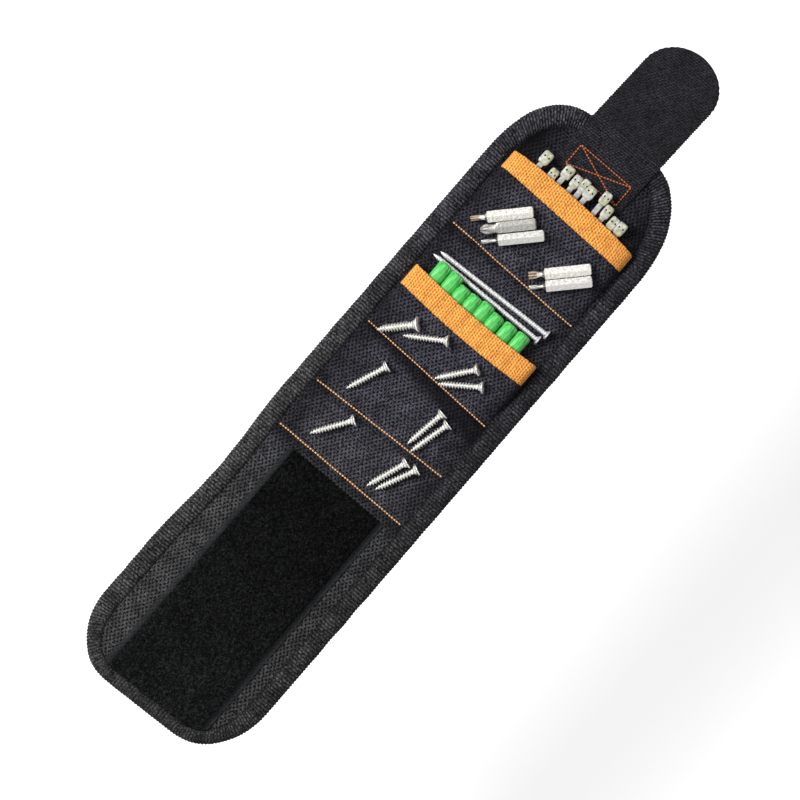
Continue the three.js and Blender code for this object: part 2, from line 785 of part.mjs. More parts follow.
function buildScrews() {
  screwPlaces.forEach(({ section, shares, heading, thick }, index) => {
    const size = thick ? thickScrew : screw;
    const mesh = addPiece(`screw_${index + 1}`, screwGeometry(size), 'zinc');
    const surface = section === 'c' ? restingSurfaces.plug : restingSurfaces.flat;
    layDown(mesh, surface, placeOn(section, shares), heading, size.length, size.shank / 2, size.head / 2);
  });
}

function buildNails() {
  const { length, shank, head, headHeight, point } = nail;
  const profile = [
    [0, 0],
    [point, shank / 2],
    [length - headHeight * 2, shank / 2],
    [length - headHeight, head / 2],
    [length, head / 2],
    [length, 0],
  ];
  nailPlaces.forEach(({ section, shares, heading }, index) => {
    const mesh = addPiece(`nail_${index + 1}`, turned(profile, turnedSides), 'steel');
    layDown(mesh, restingSurfaces.flat, placeOn(section, shares), heading, length, shank / 2, head / 2);
  });
}

// Hexagon with a corner upwards, and the four-winged driving tip
const hexForm = (k, angle) => 1 / Math.cos((angle % (Math.PI / 3)) - Math.PI / 6);
const wingForm = (k) => (k % 3 === 0 ? 1 : bitTipShares.groove);

function bitGeometry(length) {
  const flat = bit.across / 2;
  return turned(
    [
      [0, 0],
      [0, bit.tip * bitTipShares.nose],
      [bit.tip * bitTipShares.taper, bit.tip / 2, wingForm],
      [bit.tip * bitTipShares.wings, bit.tip / 2, wingForm],
      [bit.tip * bitTipShares.end, bit.neck / 2],
      [bit.tipLength, bit.neck / 2],
      [bit.tipLength + bit.chamfer, flat, hexForm],
      [length - bit.chamfer, flat, hexForm],
      [length, flat - bit.chamfer],
      [length, 0],
    ],
    turnedSides
  );
}

function buildBits() {
  const cornerLift = bit.across / 2 / Math.cos(Math.PI / 6);
  const along = new THREE.Vector2(Math.cos(degToRad(bitHeading)), Math.sin(degToRad(bitHeading)));
  const aside = new THREE.Vector2(along.y, -along.x);
  let count = 0;
  for (const { section, shares, slideShares, shortBit } of bitRows) {
    const first = new THREE.Vector2(...placeOn(section, shares));
    slideShares.forEach((slideShare, index) => {
      const length = index === shortBit ? shortBitLength : bit.length;
      const place = first.clone().addScaledVector(aside, index * (bit.across + clearance));
      place.addScaledVector(along, slideShare * bit.length);
      count += 1;
      const mesh = addPiece(`bit_${count}`, bitGeometry(length), 'chrome');
      layDown(mesh, restingSurfaces.tie, place.toArray(), bitHeading, length, cornerLift, cornerLift);
    });
  }
}

// Ribbed wall plug, bored from its rim, with a star tip
const ribForm = (k) => (k % 2 === 0 ? 1 : plugShares.groove);

function plugGeometry() {
  const radius = plug.diameter / 2;
  const bore = plug.bore / 2;
  return turned(
    [
      [plug.boreDepth, 0],
      [plug.boreDepth, bore * plugShares.boreEnd],
      [0, bore],
      [0, radius * plugShares.lip],
      [plug.rim / 2, radius],
      [plug.rim, radius],
      [plug.rim * 2, radius, ribForm],
      [plug.length - plug.chamfer, radius, ribForm],
      [plug.length, radius * plugShares.nose, ribForm],
      [plug.length, 0],
    ],
    plugSides
  );
}

function buildPlugs() {
  const tilt = degToRad(plugTilt);
  const radius = plug.diameter / 2;
  plugOutShares.forEach((outShare, index) => {
    const across = plugAcrossShares[index] * pocketFlatHalf;
    const tipX = seams.bc + plugMouthReach + outShare * plugReach;
    const baseX = tipX - plug.length * Math.cos(tilt);
    const restX = seams.bc + plugMouthReach + plugReach * Math.min(...plugOutShares) - plug.length;
    const baseZ = clothCrownTop + clearance + radius + (baseX - restX) * Math.tan(tilt);
    const mesh = addPiece(`plug_${index + 1}`, plugGeometry(), 'plugPlastic');
    mesh.position.set(baseX, across, baseZ);
    mesh.rotation.y = -tilt;
  });
}

// Flat tail of a cable tie, from its start at the origin to its narrow end
function tieTail(length) {
  const shape = new THREE.Shape([
    new THREE.Vector2(0, tie.tail / 2),
    new THREE.Vector2(-length + tie.tail, tie.tail / 2),
    new THREE.Vector2(-length, tie.tail * tieTipShare),
    new THREE.Vector2(-length, -tie.tail * tieTipShare),
    new THREE.Vector2(-length + tie.tail, -tie.tail / 2),
    new THREE.Vector2(0, -tie.tail / 2),
  ]);
  const tail = new THREE.ExtrudeGeometry(shape, { depth: tie.thickness, bevelEnabled: false });
  return tail.translate(0, 0, -tie.thickness / 2);
}

// Ten cable ties made as one bunch: straight necks, and tails that cross each other inside the pocket
function buildTies() {
  const slant = degToRad(tieSlant);
  const headBox = (width) => new THREE.BoxGeometry(tie.headLength, width, tie.headHeight);
  const eye = new THREE.BoxGeometry(tieEye.along, tieEye.across, tie.headHeight * 2);
  let bunch = null;
  tieOutShares.forEach((outShare, index) => {
    const out = outShare * tieReach;
    const straight = out + tieNeckInside;
    const across = tieAcrossShares[index] * pocketFlatHalf;
    const place = new THREE.Matrix4().makeTranslation(out, across, 0);
    const bend = new THREE.Matrix4().makeTranslation(-tieNeckInside, across, 0);
    bend.multiply(new THREE.Matrix4().makeRotationZ(index % 2 === 0 ? slant : -slant));
    const head = toManifold(headBox(tie.headWidth * tieWidthShares[index]), place);
    const neck = toManifold(tieTail(straight + tie.tail), place);
    const tail = toManifold(tieTail(tie.length - straight), bend);
    const opened = head.add(neck).add(tail).subtract(toManifold(eye, place));
    bunch = bunch ? bunch.add(opened) : opened;
  });
  const mesh = addPiece('cable_ties', fromManifold(bunch), 'tiePlastic');
  const mouthX = seams.cd + tieMouthReach;
  const tilt = degToRad(tieTilt);
  const rootHeight = clothCrownTop + clearance + tie.thickness / 2;
  const longestTail = tie.length - tieReach * Math.min(...tieOutShares) - tieNeckInside;
  const tailReach = tieNeckInside + longestTail * Math.cos(slant);
  mesh.position.set(mouthX, 0, rootHeight + tailReach * Math.sin(tilt));
  mesh.rotation.y = -tilt;
}

buildLoopEnd();
buildLoopTape();
Object.keys(sections).forEach(buildSection);
buildPocket('plug', pockets.plug);
buildPocket('tie', pockets.tie);
buildStrap();
buildScrews();
buildNails();
buildBits();
buildPlugs();
buildTies();

export default wristband;
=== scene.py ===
# Looks of a magnetic wristband laid out flat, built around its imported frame.
# Lengths are in millimetres until a mesh is made. X runs along the band towards the strap tip,
# Y across it, and Z up from the face that lies on the wrist.

import json
import math
from functools import partialmethod

import bpy
import numpy as np
from mathutils import Matrix, Vector, noise


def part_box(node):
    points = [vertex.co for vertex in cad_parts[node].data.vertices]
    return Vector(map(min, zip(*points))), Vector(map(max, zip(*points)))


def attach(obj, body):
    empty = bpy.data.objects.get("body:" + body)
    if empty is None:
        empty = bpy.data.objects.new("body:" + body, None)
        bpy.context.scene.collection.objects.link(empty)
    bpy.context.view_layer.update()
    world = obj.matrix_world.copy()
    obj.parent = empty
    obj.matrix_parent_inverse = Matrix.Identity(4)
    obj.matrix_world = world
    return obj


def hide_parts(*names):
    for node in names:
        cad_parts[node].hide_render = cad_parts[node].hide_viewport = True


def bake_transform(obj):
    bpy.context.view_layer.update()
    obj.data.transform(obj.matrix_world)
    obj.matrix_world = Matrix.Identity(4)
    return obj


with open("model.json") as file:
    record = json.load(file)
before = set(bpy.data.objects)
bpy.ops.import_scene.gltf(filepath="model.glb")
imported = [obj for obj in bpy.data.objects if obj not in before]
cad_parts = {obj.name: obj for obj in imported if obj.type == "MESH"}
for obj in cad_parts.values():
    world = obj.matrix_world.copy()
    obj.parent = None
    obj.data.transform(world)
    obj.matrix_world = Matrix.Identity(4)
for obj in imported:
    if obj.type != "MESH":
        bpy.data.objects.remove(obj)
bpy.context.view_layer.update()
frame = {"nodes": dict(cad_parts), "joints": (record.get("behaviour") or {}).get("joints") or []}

MM = 0.001

# Places taken from the frame
joints = {joint["name"]: joint for joint in frame["joints"]}


def box(node):
    low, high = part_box(node)
    return np.array(low) / MM, np.array(high) / MM


SEAM_JOINTS = ["seam_a_fold", "seam_b_fold", "seam_c_fold", "seam_d_fold"]
BODIES = ["loop_end", "section_a", "section_b", "section_c", "section_d"]
SEAM_X = [joints[name]["pos_m"][0] / MM for name in SEAM_JOINTS]
SEAM_LEAN = [joints[name]["axis"][0] / joints[name]["axis"][1] for name in SEAM_JOINTS]
CUT_X = [(SEAM_X[k] + SEAM_X[k + 1]) / 2 for k in range(3)]
FOLD_X = joints["strap_fold"]["pos_m"][0] / MM
HALF_WIDTH = -box("section_a_binding_right")[0][1]
STRAP_TIP_X = box("hook_tab")[1][0]

# Outline: along, across and power of each corner, and where the end reaches on that side
LOOP_TIP_X = box("loop_end_binding")[0][0]
BAND_TIP_X = box("section_d_binding")[1][0]
LOOP_SLANT = 1.8
BAND_SLANT = 2.0
BAND_END_X = BAND_TIP_X - BAND_SLANT / 2
CORNERS = {
    ("loop", 1): (30, 25, 2.0, LOOP_TIP_X),
    ("loop", -1): (34, 27, 2.0, LOOP_TIP_X + LOOP_SLANT),
    ("band", 1): (44, 31, 2.5, BAND_TIP_X - BAND_SLANT),
    ("band", -1): (46, 31, 2.1, BAND_TIP_X),
}
OUTWARD = {"loop": -1, "band": 1}
WAIST_DEPTH = 2.1
WAIST_SHARES = (0.44, 1.1)

# Layers
CLOTH_CROWN = 4.25
CLOTH_EDGE = 3.9
SHOULDER = 4.5
LOOP_BINDING, SIDE_BINDING, BAND_BINDING = 7.2, 9.3, 9.8
RIB_PITCH = 1.54
RIB_DEPTH = 0.17
RINGS_PER_RIB = 4

# Which points of the binding's section are its outer rim, its inner edge on top, and the last outside
RIM, LIP, LAST_OUTSIDE = 4, 13, 14

# Half the way round the band's edge
HALF_ROUND = 401.0

# Loop tape: its two sides, the width of its woven edges, its ground and its underside
TAPE_LEFT, TAPE_RIGHT = 25.0, -29.5
SELVAGE = 2.5
TAPE_TOP, TAPE_UNDER = 4.95, 4.0

# Threads
THREAD = 0.7
SEAM_STITCH = 1.45
SEAM_REACH = 35.0
CROSS_STITCH = 1.5

# Painted shade in the cloth's creases at the seams: reach before the seam, how that widens across the band,
# reach after it, and the share of brightness left at the seam
CREASE_SHADE = [(6.5, 0.0, 2.5, 0.45), (3.0, 0.0, 3.0, 0.6), (11.0, 0.14, 3.5, 0.22), (3.5, -0.05, 3.0, 0.55)]

# Painted shade and tint on the cloth and the binding, and the browner tint of the bits' tips: places between
# which each changes, and its levels
LOOP_END_SHADE = (-64, -50, 1.0, 0.0)
SIDE_SHADE = (19, 36, 0.0, 0.55)
PILE_LEFT_SHADE = (20, 27, 0.0, 0.16)
PILE_RIGHT_SHADE = (-31, -26, 0.23, 0.0)
STRAP_END_SHADE = (88, 122, 1.0, 0.5)
WARM_PLACES = (-110, 0)
LIP_SHADE = (0.1, 1.0, 0.45, 1.0)
SHADY_SIDE = (HALF_ROUND - 30, HALF_ROUND * 1.6, 1.0, 0.72)
BINDING_WARM_PLACES = (120, 330)
TIP_PLACES = (3.0, 5.5)
TIP_TINT = (0.55, 0.42, 0.32)

# Hardware
THREAD_PITCH = 1.35
TURN_UV = 6 * math.pi
PLUG_RADIUS, PLUG_BORE = 2.9, 1.4


def smoothstep(value, low, high):
    share = np.clip((value - low) / (high - low), 0, 1)
    return share * share * (3 - 2 * share)


def lerp(a, b, share):
    return a + (b - a) * share


def ripple(x, y, scale, depth, seed=0.0):
    """Gentle unevenness over a surface, of that scale and depth."""
    spots = zip(np.ravel(x) / scale, np.ravel(y) / scale)
    values = [noise.noise(Vector((a, b, seed))) for a, b in spots]
    return depth * np.reshape(values, np.shape(x))


# Meshes


def grid_faces(rows, columns, wrap=False):
    """Quads between neighbouring rows of points. Wrap joins the last column to the first."""
    index = np.arange(rows * columns).reshape(rows, columns)
    if wrap:
        index = np.hstack([index, index[:, :1]])
    quads = [index[:-1, :-1], index[:-1, 1:], index[1:, 1:], index[1:, :-1]]
    return np.stack(quads, -1).reshape(-1, 4)


def make_mesh(name, points, faces, uvs, material, weld=False, sharp=math.radians(50)):
    """An object from points in millimetres, with a UV in millimetres for each point."""
    points, faces, uvs = np.asarray(points, float), np.asarray(faces), np.asarray(uvs, float)
    used, faces = np.unique(faces, return_inverse=True)
    points, uvs, faces = points[used], uvs[used], faces.reshape(-1, 4)
    if weld:
        _, first, same = np.unique(np.round(points, 3), axis=0, return_index=True, return_inverse=True)
        points, uvs, faces = points[first], uvs[first], same.ravel()[faces]
    clean = [tuple(dict.fromkeys(face)) for face in faces.tolist()]
    mesh = bpy.data.meshes.new(name)
    mesh.from_pydata((points * MM).tolist(), [], [face for face in clean if len(face) > 2])
    corners = np.empty(len(mesh.loops), int)
    mesh.loops.foreach_get("vertex_index", corners)
    mesh.uv_layers.new(name="surface").data.foreach_set("uv", uvs[corners].ravel())
    mesh.polygons.foreach_set("use_smooth", np.ones(len(mesh.polygons), bool))
    mesh.set_sharp_from_angle(angle=sharp)
    mesh.materials.append(material)
    piece = bpy.data.objects.new(name, mesh)
    bpy.context.scene.collection.objects.link(piece)
    return piece


def slab(top, under):
    """Points and quads of a closed sheet between an upper and a lower grid of points."""
    rows, columns = top.shape[:2]
    count = rows * columns
    index = np.arange(count).reshape(rows, columns)
    face = grid_faces(rows, columns)
    rim = np.concatenate([index[0], index[1:, -1], index[-1, -2::-1], index[-2::-1, 0]])
    edge = np.stack([rim[1:], rim[:-1], rim[:-1] + count, rim[1:] + count], -1)
    points = np.concatenate([top.reshape(-1, 3), under.reshape(-1, 3)])
    return points, np.concatenate([face, face[:, ::-1] + count, edge])


def joined(parts):
    """One set of points, quads and UVs from several."""
    points, faces, uvs, start = [], [], [], 0
    for part_points, part_faces, part_uvs in parts:
        points.append(part_points)
        faces.append(part_faces + start)
        uvs.append(part_uvs)
        start += len(part_points)
    return np.concatenate(points), np.concatenate(faces), np.concatenate(uvs)


def travel_along(line):
    """How far each point of a line is along it."""
    steps = np.linalg.norm(np.diff(line, axis=0), axis=1)
    return np.concatenate([[0], np.cumsum(steps)])


def uv_grid(along, around):
    return np.stack(np.meshgrid(along, around, indexing="ij"), -1).reshape(-1, 2)


def placed(piece, body, slot, *nodes):
    """The piece moves with a body, and takes the place of those nodes."""
    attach(piece, body)
    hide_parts(*nodes)


def seam_blend(piece):
    """Bakes the piece's place into its mesh."""
    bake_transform(piece)


def banded(name, points, faces, uvs, labels, material, slot, nodes, weld=False):
    """Splits a layer of the band in the middle of its sections, and hides the nodes that each piece stands
    for.
    """
    pieces = []
    for k in range(4):
        piece = make_mesh(f"{name}_{k + 1}", points, faces[labels == k], uvs, material, weld)
        seam_blend(piece)
        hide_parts(*nodes[k])
        pieces.append(piece)
    return pieces


# Outline of the band in rows of points, from the loop end to the strap end

CORNER_ROWS = 15
NEAR_SEAM = [0.6, 1.3, 2.2, 3.4, 5.0, 7.0]
ROW_STEP = 2.2
TURN = np.linspace(0, math.pi / 2, CORNER_ROWS)


def span_shares(length, from_seam, to_seam):
    """Shares of a span for its rows, closer together where it meets a seam."""
    start = NEAR_SEAM if from_seam else []
    end = [length - near for near in NEAR_SEAM[::-1]] if to_seam else []
    low, high = (start or [0])[-1], (end or [length])[0]
    middle = np.linspace(low, high, int((high - low) / ROW_STEP) + 2)[1:-1]
    return np.concatenate([start, middle, end]) / length


def row_places():
    """The span that each side row is in, and its share of it."""
    ends = [LOOP_TIP_X + CORNERS["loop", 1][0], *SEAM_X, BAND_TIP_X - CORNERS["band", -1][0]]
    spans, shares = [], []
    for k in range(5):
        inner = span_shares(ends[k + 1] - ends[k], k > 0, k < 4)
        whole = np.append(inner, 1.0) if k < 4 else inner
        spans += [k] * len(whole)
        shares += list(whole)
    return np.array(spans), np.array(shares)


SPANS, SHARES = row_places()
ROWS = len(SPANS) + 2 * CORNER_ROWS
corner_share = smoothstep(TURN, 0, math.pi / 3)
to_loop, to_band = (lerp(SIDE_BINDING, end, corner_share) for end in (LOOP_BINDING, BAND_BINDING))
WIDTH = np.concatenate([to_loop[::-1], np.full(len(SPANS), SIDE_BINDING), to_band])


def corner_line(end, side, inset, turn):
    along, across, power, tip = CORNERS[end, side]
    x = tip - OUTWARD[end] * (along - (along - inset) * np.sin(turn) ** (2 / power))
    y = side * (HALF_WIDTH - across + (across - inset) * np.cos(turn) ** (2 / power))
    return np.column_stack([x, y])


def edge_line(side, inset):
    """The band's edge, drawn in by inset, which is one length or one for each row."""
    inset = np.broadcast_to(np.asarray(inset, float), (ROWS,))
    first = corner_line("loop", side, inset[:CORNER_ROWS], TURN[::-1])
    last = corner_line("band", side, inset[-CORNER_ROWS:], TURN)
    y = side * (HALF_WIDTH - inset[CORNER_ROWS:-CORNER_ROWS])
    loop, band = CORNERS["loop", side], CORNERS["band", side]
    places = [np.full(len(y), loop[3] + loop[0])]
    places += [x + lean * y for x, lean in zip(SEAM_X, SEAM_LEAN)]
    places = np.array([*places, np.full(len(y), band[3] - band[0])])
    column = np.arange(len(y))
    x = lerp(places[SPANS, column], places[SPANS + 1, column], SHARES)
    line = np.concatenate([first, np.column_stack([x, y]), last])
    low, high = (LOOP_TIP_X + share * (SEAM_X[0] - LOOP_TIP_X) for share in WAIST_SHARES)
    drawn = np.sin(math.pi * np.clip((line[:, 0] - low) / (high - low), 0, 1)) ** 2
    line[:, 1] *= np.where(line[:, 1] > 0, 1 - WAIST_DEPTH / HALF_WIDTH * drawn, 1)
    return line


def seam_distance(x, y, k):
    return x - SEAM_X[k] - SEAM_LEAN[k] * y


def panel(offsets, columns, height):
    """A layer inside the binding: points, quads and, for each quad, which seam's piece it is in.
    Offsets are distances in from the binding's inner edge, and height takes x, y and the offset."""
    sides = [[edge_line(side, WIDTH + offset) for offset in offsets] for side in (1, -1)]
    shares = np.linspace(0, 1, columns)[1:-1]
    middle = [lerp(sides[0][-1], sides[1][-1], share) for share in shares]
    plan = np.stack(sides[0] + middle + sides[1][::-1], axis=1)
    inward = np.array([*offsets, *[offsets[-1]] * len(middle), *offsets[::-1]])
    z = height(plan[..., 0], plan[..., 1], np.broadcast_to(inward, plan.shape[:2]))
    points = np.dstack([plan, z])
    faces = grid_faces(*plan.shape[:2])
    across = plan[:, :, 0].mean(1)
    labels = np.repeat(np.searchsorted(CUT_X, (across[:-1] + across[1:]) / 2), plan.shape[1] - 1)
    parts = [(points.reshape(-1, 3), faces, plan.reshape(-1, 2))]
    for row, label in ((0, 0), (-1, 3)):
        ends = [np.array([line[row] for line in side]) for side in sides]
        patch = np.stack([lerp(ends[0], ends[1], share) for share in np.linspace(0, 1, columns)], 1)
        inward = np.broadcast_to(np.array(offsets)[:, None], patch.shape[:2])
        z = height(patch[..., 0], patch[..., 1], inward)
        quads = grid_faces(*patch.shape[:2])
        quads = quads if label else quads[:, ::-1]
        parts.append((np.dstack([patch, z]).reshape(-1, 3), quads, patch.reshape(-1, 2)))
        labels = np.append(labels, np.full(len(quads), label))
    return (*joined(parts), labels)


# Materials


class Graph:
    """The nodes of a material or of the world, joined by short calls."""

    def __init__(self, owner):
        owner.use_nodes = True
        self.tree = owner.node_tree

    def add(self, kind, inputs=None, **settings):
        node = self.tree.nodes.new(kind)
        for key, value in settings.items():
            setattr(node, key, value)
        for key, value in (inputs or {}).items():
            self.join(value, node.inputs[key])
        return node

    def join(self, value, socket):
        if isinstance(value, bpy.types.NodeSocket):
            self.tree.links.new(value, socket)
        else:
            socket.default_value = value

    def math(self, operation, *values):
        return self.add("ShaderNodeMath", dict(enumerate(values)), operation=operation).outputs[0]

    plus = partialmethod(math, "ADD")
    less = partialmethod(math, "SUBTRACT")
    times = partialmethod(math, "MULTIPLY")
    size = partialmethod(math, "ABSOLUTE")
    larger = partialmethod(math, "MAXIMUM")

    def between(self, factor, low, high):
        """The value that goes from low to high with the factor."""
        return self.plus(self.times(factor, high - low), low)


class Surface(Graph):
    """The nodes of one material, with its UV in millimetres."""

    def __init__(self, name, roughness=0.8, metallic=0.0, specular=0.4):
        self.material = bpy.data.materials.new(name)
        super().__init__(self.material)
        self.shader = self.tree.nodes["Principled BSDF"]
        values = {"Roughness": roughness, "Metallic": metallic, "Specular IOR Level": specular}
        for socket, value in values.items():
            self.shader.inputs[socket].default_value = value
        self.uv = self.add("ShaderNodeUVMap", uv_map="surface").outputs["UV"]

    def noise(self, scale, detail=2.0, stretch=(1, 1, 1)):
        """Noise whose features are about scale millimetres."""
        along = self.add("ShaderNodeMapping", {"Vector": self.uv, "Scale": stretch}).outputs[0]
        inputs = {"Vector": along, "Scale": 1 / scale, "Detail": detail}
        return self.add("ShaderNodeTexNoise", inputs, noise_dimensions="2D").outputs["Fac"]

    def speckle(self, scale, detail=2.0, stretch=(1, 1, 1)):
        """Noise stretched to the whole range from 0 to 1."""
        inputs = {"Value": self.noise(scale, detail, stretch), "From Min": 0.3, "From Max": 0.7}
        return self.add("ShaderNodeMapRange", inputs).outputs["Result"]

    def cells(self, scale):
        """A random value from 0 to 1 for each of many small cells."""
        inputs = {"Vector": self.uv, "Scale": 1 / scale}
        colour = self.add("ShaderNodeTexVoronoi", inputs, voronoi_dimensions="2D").outputs["Color"]
        return self.add("ShaderNodeSeparateXYZ", {0: colour}).outputs["X"]

    def step(self, value, low, high, first=0.0, last=1.0):
        """A soft step from first to last while the value goes from low to high."""
        inputs = {"Value": value, "From Min": low, "From Max": high, "To Min": first, "To Max": last}
        return self.add("ShaderNodeMapRange", inputs, interpolation_type="SMOOTHSTEP").outputs["Result"]

    def split(self, wobble=0.0, scale=6.0):
        """Both ways along the surface, in millimetres, made a little uneven by wobble."""
        vector = self.uv
        if wobble:
            inputs = {"Vector": self.uv, "Scale": 1 / scale, "Detail": 1.0}
            drift = self.add("ShaderNodeTexNoise", inputs, noise_dimensions="2D").outputs["Color"]
            inputs = {0: drift, 1: (wobble,) * 3, 2: vector}
            vector = self.add("ShaderNodeVectorMath", inputs, operation="MULTIPLY_ADD").outputs[0]
        parts = self.add("ShaderNodeSeparateXYZ", {0: vector})
        return parts.outputs["X"], parts.outputs["Y"]

    def wave(self, along, pitch):
        return self.math("SINE", self.times(along, math.pi / pitch))

    def ramp(self, factor, *stops):
        node = self.add("ShaderNodeValToRGB", {"Fac": factor})
        elements = node.color_ramp.elements
        while len(elements) < len(stops):
            elements.new(0.5)
        for element, (place, colour) in zip(elements, stops):
            element.position = place
            element.color = (*colour, 1)
        return node.outputs["Color"]

    def tinted(self, colour, factor, low, high):
        """The colour made darker or lighter by a factor that runs from low to high."""
        inputs = {0: colour, "Scale": self.between(factor, low, high)}
        return self.add("ShaderNodeVectorMath", inputs, operation="SCALE").outputs[0]

    def multiplied(self, colour, other):
        inputs = {0: colour, 1: other}
        return self.add("ShaderNodeVectorMath", inputs, operation="MULTIPLY").outputs[0]

    def bump(self, *layers):
        """Relief from layers of height and depth in millimetres."""
        normal = None
        for height, depth in layers:
            inputs = {"Height": height, "Distance": depth * MM, "Strength": 1.0}
            if normal:
                inputs["Normal"] = normal
            normal = self.add("ShaderNodeBump", inputs).outputs["Normal"]
        self.join(normal, self.shader.inputs["Normal"])

    def colour(self, value):
        self.join(value, self.shader.inputs["Base Color"])

    def roughness(self, factor, low, high):
        self.join(self.between(factor, low, high), self.shader.inputs["Roughness"])


def woven(
    name, pitch, dark, light, depth, ribs=0.0, top=1.0, uneven=0.2, speck=0.4, gaps=0.0, slant=0, shade=None
):
    """A weave whose lengthwise yarns catch the light where they are on top. Pitch is the spacing of
    its yarns both ways, ribs how much the yarns of the first way stand out as ribs, and top the height
    that has the light colour. A weave with gaps is light all over except at those small dark gaps, and
    slant 1 or -1 turns the yarns on top into slanting lines. Uneven and speck are how much it varies
    from place to place and from yarn to yarn, and shade takes the graph and gives each place's tint."""
    graph = Surface(name, roughness=0.8, specular=0.08)
    ways = graph.split(0.7)
    waves = [graph.wave(way, spacing) for way, spacing in zip(ways, pitch)]
    over = graph.times(*waves)
    if slant:
        slanting = graph.math("MULTIPLY_ADD", ways[1], slant * pitch[0] / pitch[1], ways[0])
        over = graph.wave(slanting, pitch[0])
    over = graph.larger(over, 0.0)
    if gaps:
        over = graph.step(over, 0.0, gaps, 1.0, 0.0)
    rib = graph.size(waves[0])
    height = graph.plus(graph.times(over, 1 - ribs), graph.times(rib, ribs))
    colour = graph.ramp(height, (0.0, dark), (top, light))
    colour = graph.tinted(colour, graph.speckle(9, 3), 1 - uneven, 1 + uneven)
    colour = graph.tinted(colour, graph.cells(0.5), 1 - speck, 1 + speck)
    if shade:
        colour = graph.multiplied(colour, shade(graph))
    graph.colour(colour)
    graph.bump((height, depth), (graph.noise(0.6, 2), depth / 2))
    return graph.material


def cloth_shade(graph):
    """Painted shade: darker in the creases at the seams, along the sides, beside the loop pile and towards
    the strap end, under a tint that is warmer at the loop end.
    """
    u, v = graph.split(3.0, 9.0)
    on_loop_end = graph.step(u, *LOOP_END_SHADE)
    side = graph.step(graph.size(v), *SIDE_SHADE)
    # Painted shade on the loop end, on either side of the pile
    beside_pile = graph.plus(graph.step(v, *PILE_LEFT_SHADE), graph.step(v, *PILE_RIGHT_SHADE))
    beside_pile = graph.times(beside_pile, on_loop_end)
    beyond = graph.times(side, graph.less(1.0, on_loop_end))
    darker = graph.plus(beside_pile, beyond)
    bright = graph.less(graph.step(u, *STRAP_END_SHADE), darker)
    # Painted shade in the creases at the seams
    for seam_x, lean, (before, flare, after, low) in zip(SEAM_X, SEAM_LEAN, CREASE_SHADE):
        away = graph.less(u, graph.math("MULTIPLY_ADD", v, lean, seam_x))
        flared = graph.math("MULTIPLY_ADD", v, -flare, away)
        dip = graph.larger(graph.step(flared, -before, 0, 1.0, 0.0), graph.step(away, 0, after))
        bright = graph.times(bright, graph.step(dip, 0, 1, low, 1.0))
    warm = graph.step(u, *WARM_PLACES)
    warm = graph.ramp(warm, (0.0, (1.12, 1.1, 0.94)), (1.0, (0.96, 0.95, 1.02)))
    return graph.tinted(warm, bright, 0, 1)


def binding_shade(graph):
    """Painted shade, dark at the inner edge and darker along the right side, which faces away from the lamp,
    under a tint that grows darker and bluer towards the strap end.
    """
    u, v = graph.split(0.5, 2.0)
    from_loop = graph.step(graph.math("PINGPONG", u, HALF_ROUND), *BINDING_WARM_PLACES)
    lip = graph.step(graph.size(v), *LIP_SHADE)
    shady_side = graph.step(u, *SHADY_SIDE)
    warm = graph.ramp(from_loop, (0.0, (0.98, 0.98, 0.95)), (1.0, (0.78, 0.77, 0.87)))
    return graph.tinted(warm, graph.times(shady_side, lip), 0, 1)


def selvage_shade(graph):
    """Darker towards the pile."""
    _, v = graph.split(1.0, 4.0)
    middle = (TAPE_LEFT + TAPE_RIGHT) / 2
    half = (TAPE_LEFT - TAPE_RIGHT) / 2
    outward = graph.size(graph.less(v, middle))
    grey = graph.step(outward, half - SELVAGE, half)
    return graph.ramp(grey, (0.0, (0.35, 0.37, 0.36)), (1.0, (1.15, 1.15, 1.1)))


def pile_material():
    graph = Surface("loop_pile", roughness=1.0, specular=0.02)
    tuft = graph.times(graph.plus(graph.cells(0.45), graph.cells(0.75)), 0.5)
    black, grey, bright = (0.0015, 0.0016, 0.0015), (0.006, 0.0068, 0.0062), (0.021, 0.023, 0.0215)
    colour = graph.ramp(tuft, (0.1, black), (0.55, grey), (1.0, bright))
    colour = graph.tinted(colour, graph.speckle(20, 2), 0.85, 1.15)
    graph.colour(graph.tinted(colour, graph.step(graph.split()[0], -190, -60), 1.3, 0.7))
    graph.bump((tuft, 0.4))
    return graph.material


def thread_material(name, pitch, dark, light):
    """Thread of two plies, whose twist shows as slanting bands, with painted shade where a stitch goes down
    and a painted highlight along the middle of each stitch.
    """
    graph = Surface(name, roughness=0.55, specular=0.3)
    u, v = graph.split()
    middle = graph.size(graph.wave(u, pitch))
    twist = graph.size(graph.wave(graph.plus(u, v), pitch / 2))
    share = graph.times(middle, graph.plus(graph.times(twist, 0.4), 0.6))
    colour = graph.ramp(share, (0.15, tuple(0.06 * part for part in dark)), (0.45, dark), (0.9, light))
    graph.colour(graph.tinted(colour, graph.noise(3, 2), 0.6, 1.4))
    graph.bump((twist, 0.12))
    return graph.material


def metal_material(name, colour, roughness, stain=0.15, scratch=0.02, shade=None, metallic=1.0):
    """Plated or drawn metal with faint stains and fine scratches. Shade takes the graph and the
    colour, and gives the colour of each place."""
    graph = Surface(name, metallic=metallic, specular=0.5)
    tint = shade(graph, colour) if shade else colour
    graph.colour(graph.tinted(tint, graph.speckle(0.9, 3), 1 - stain, 1 + stain))
    graph.roughness(graph.speckle(1.2, 3), roughness - 0.1, roughness + 0.15)
    graph.bump((graph.noise(0.3, 2, (0.2, 1, 1)), scratch))
    return graph.material


def thread_shade(pitch, dark):
    """Painted shade between the turns of a thread or a twisted shank."""

    def shade(graph, colour):
        u, v = graph.split()
        phase = graph.less(graph.math("DIVIDE", u, pitch), graph.math("DIVIDE", v, TURN_UV))
        crest = graph.size(graph.math("SINE", graph.times(phase, math.pi)))
        return graph.ramp(crest, (0.25, tuple(dark * part for part in colour)), (0.8, colour))

    return shade


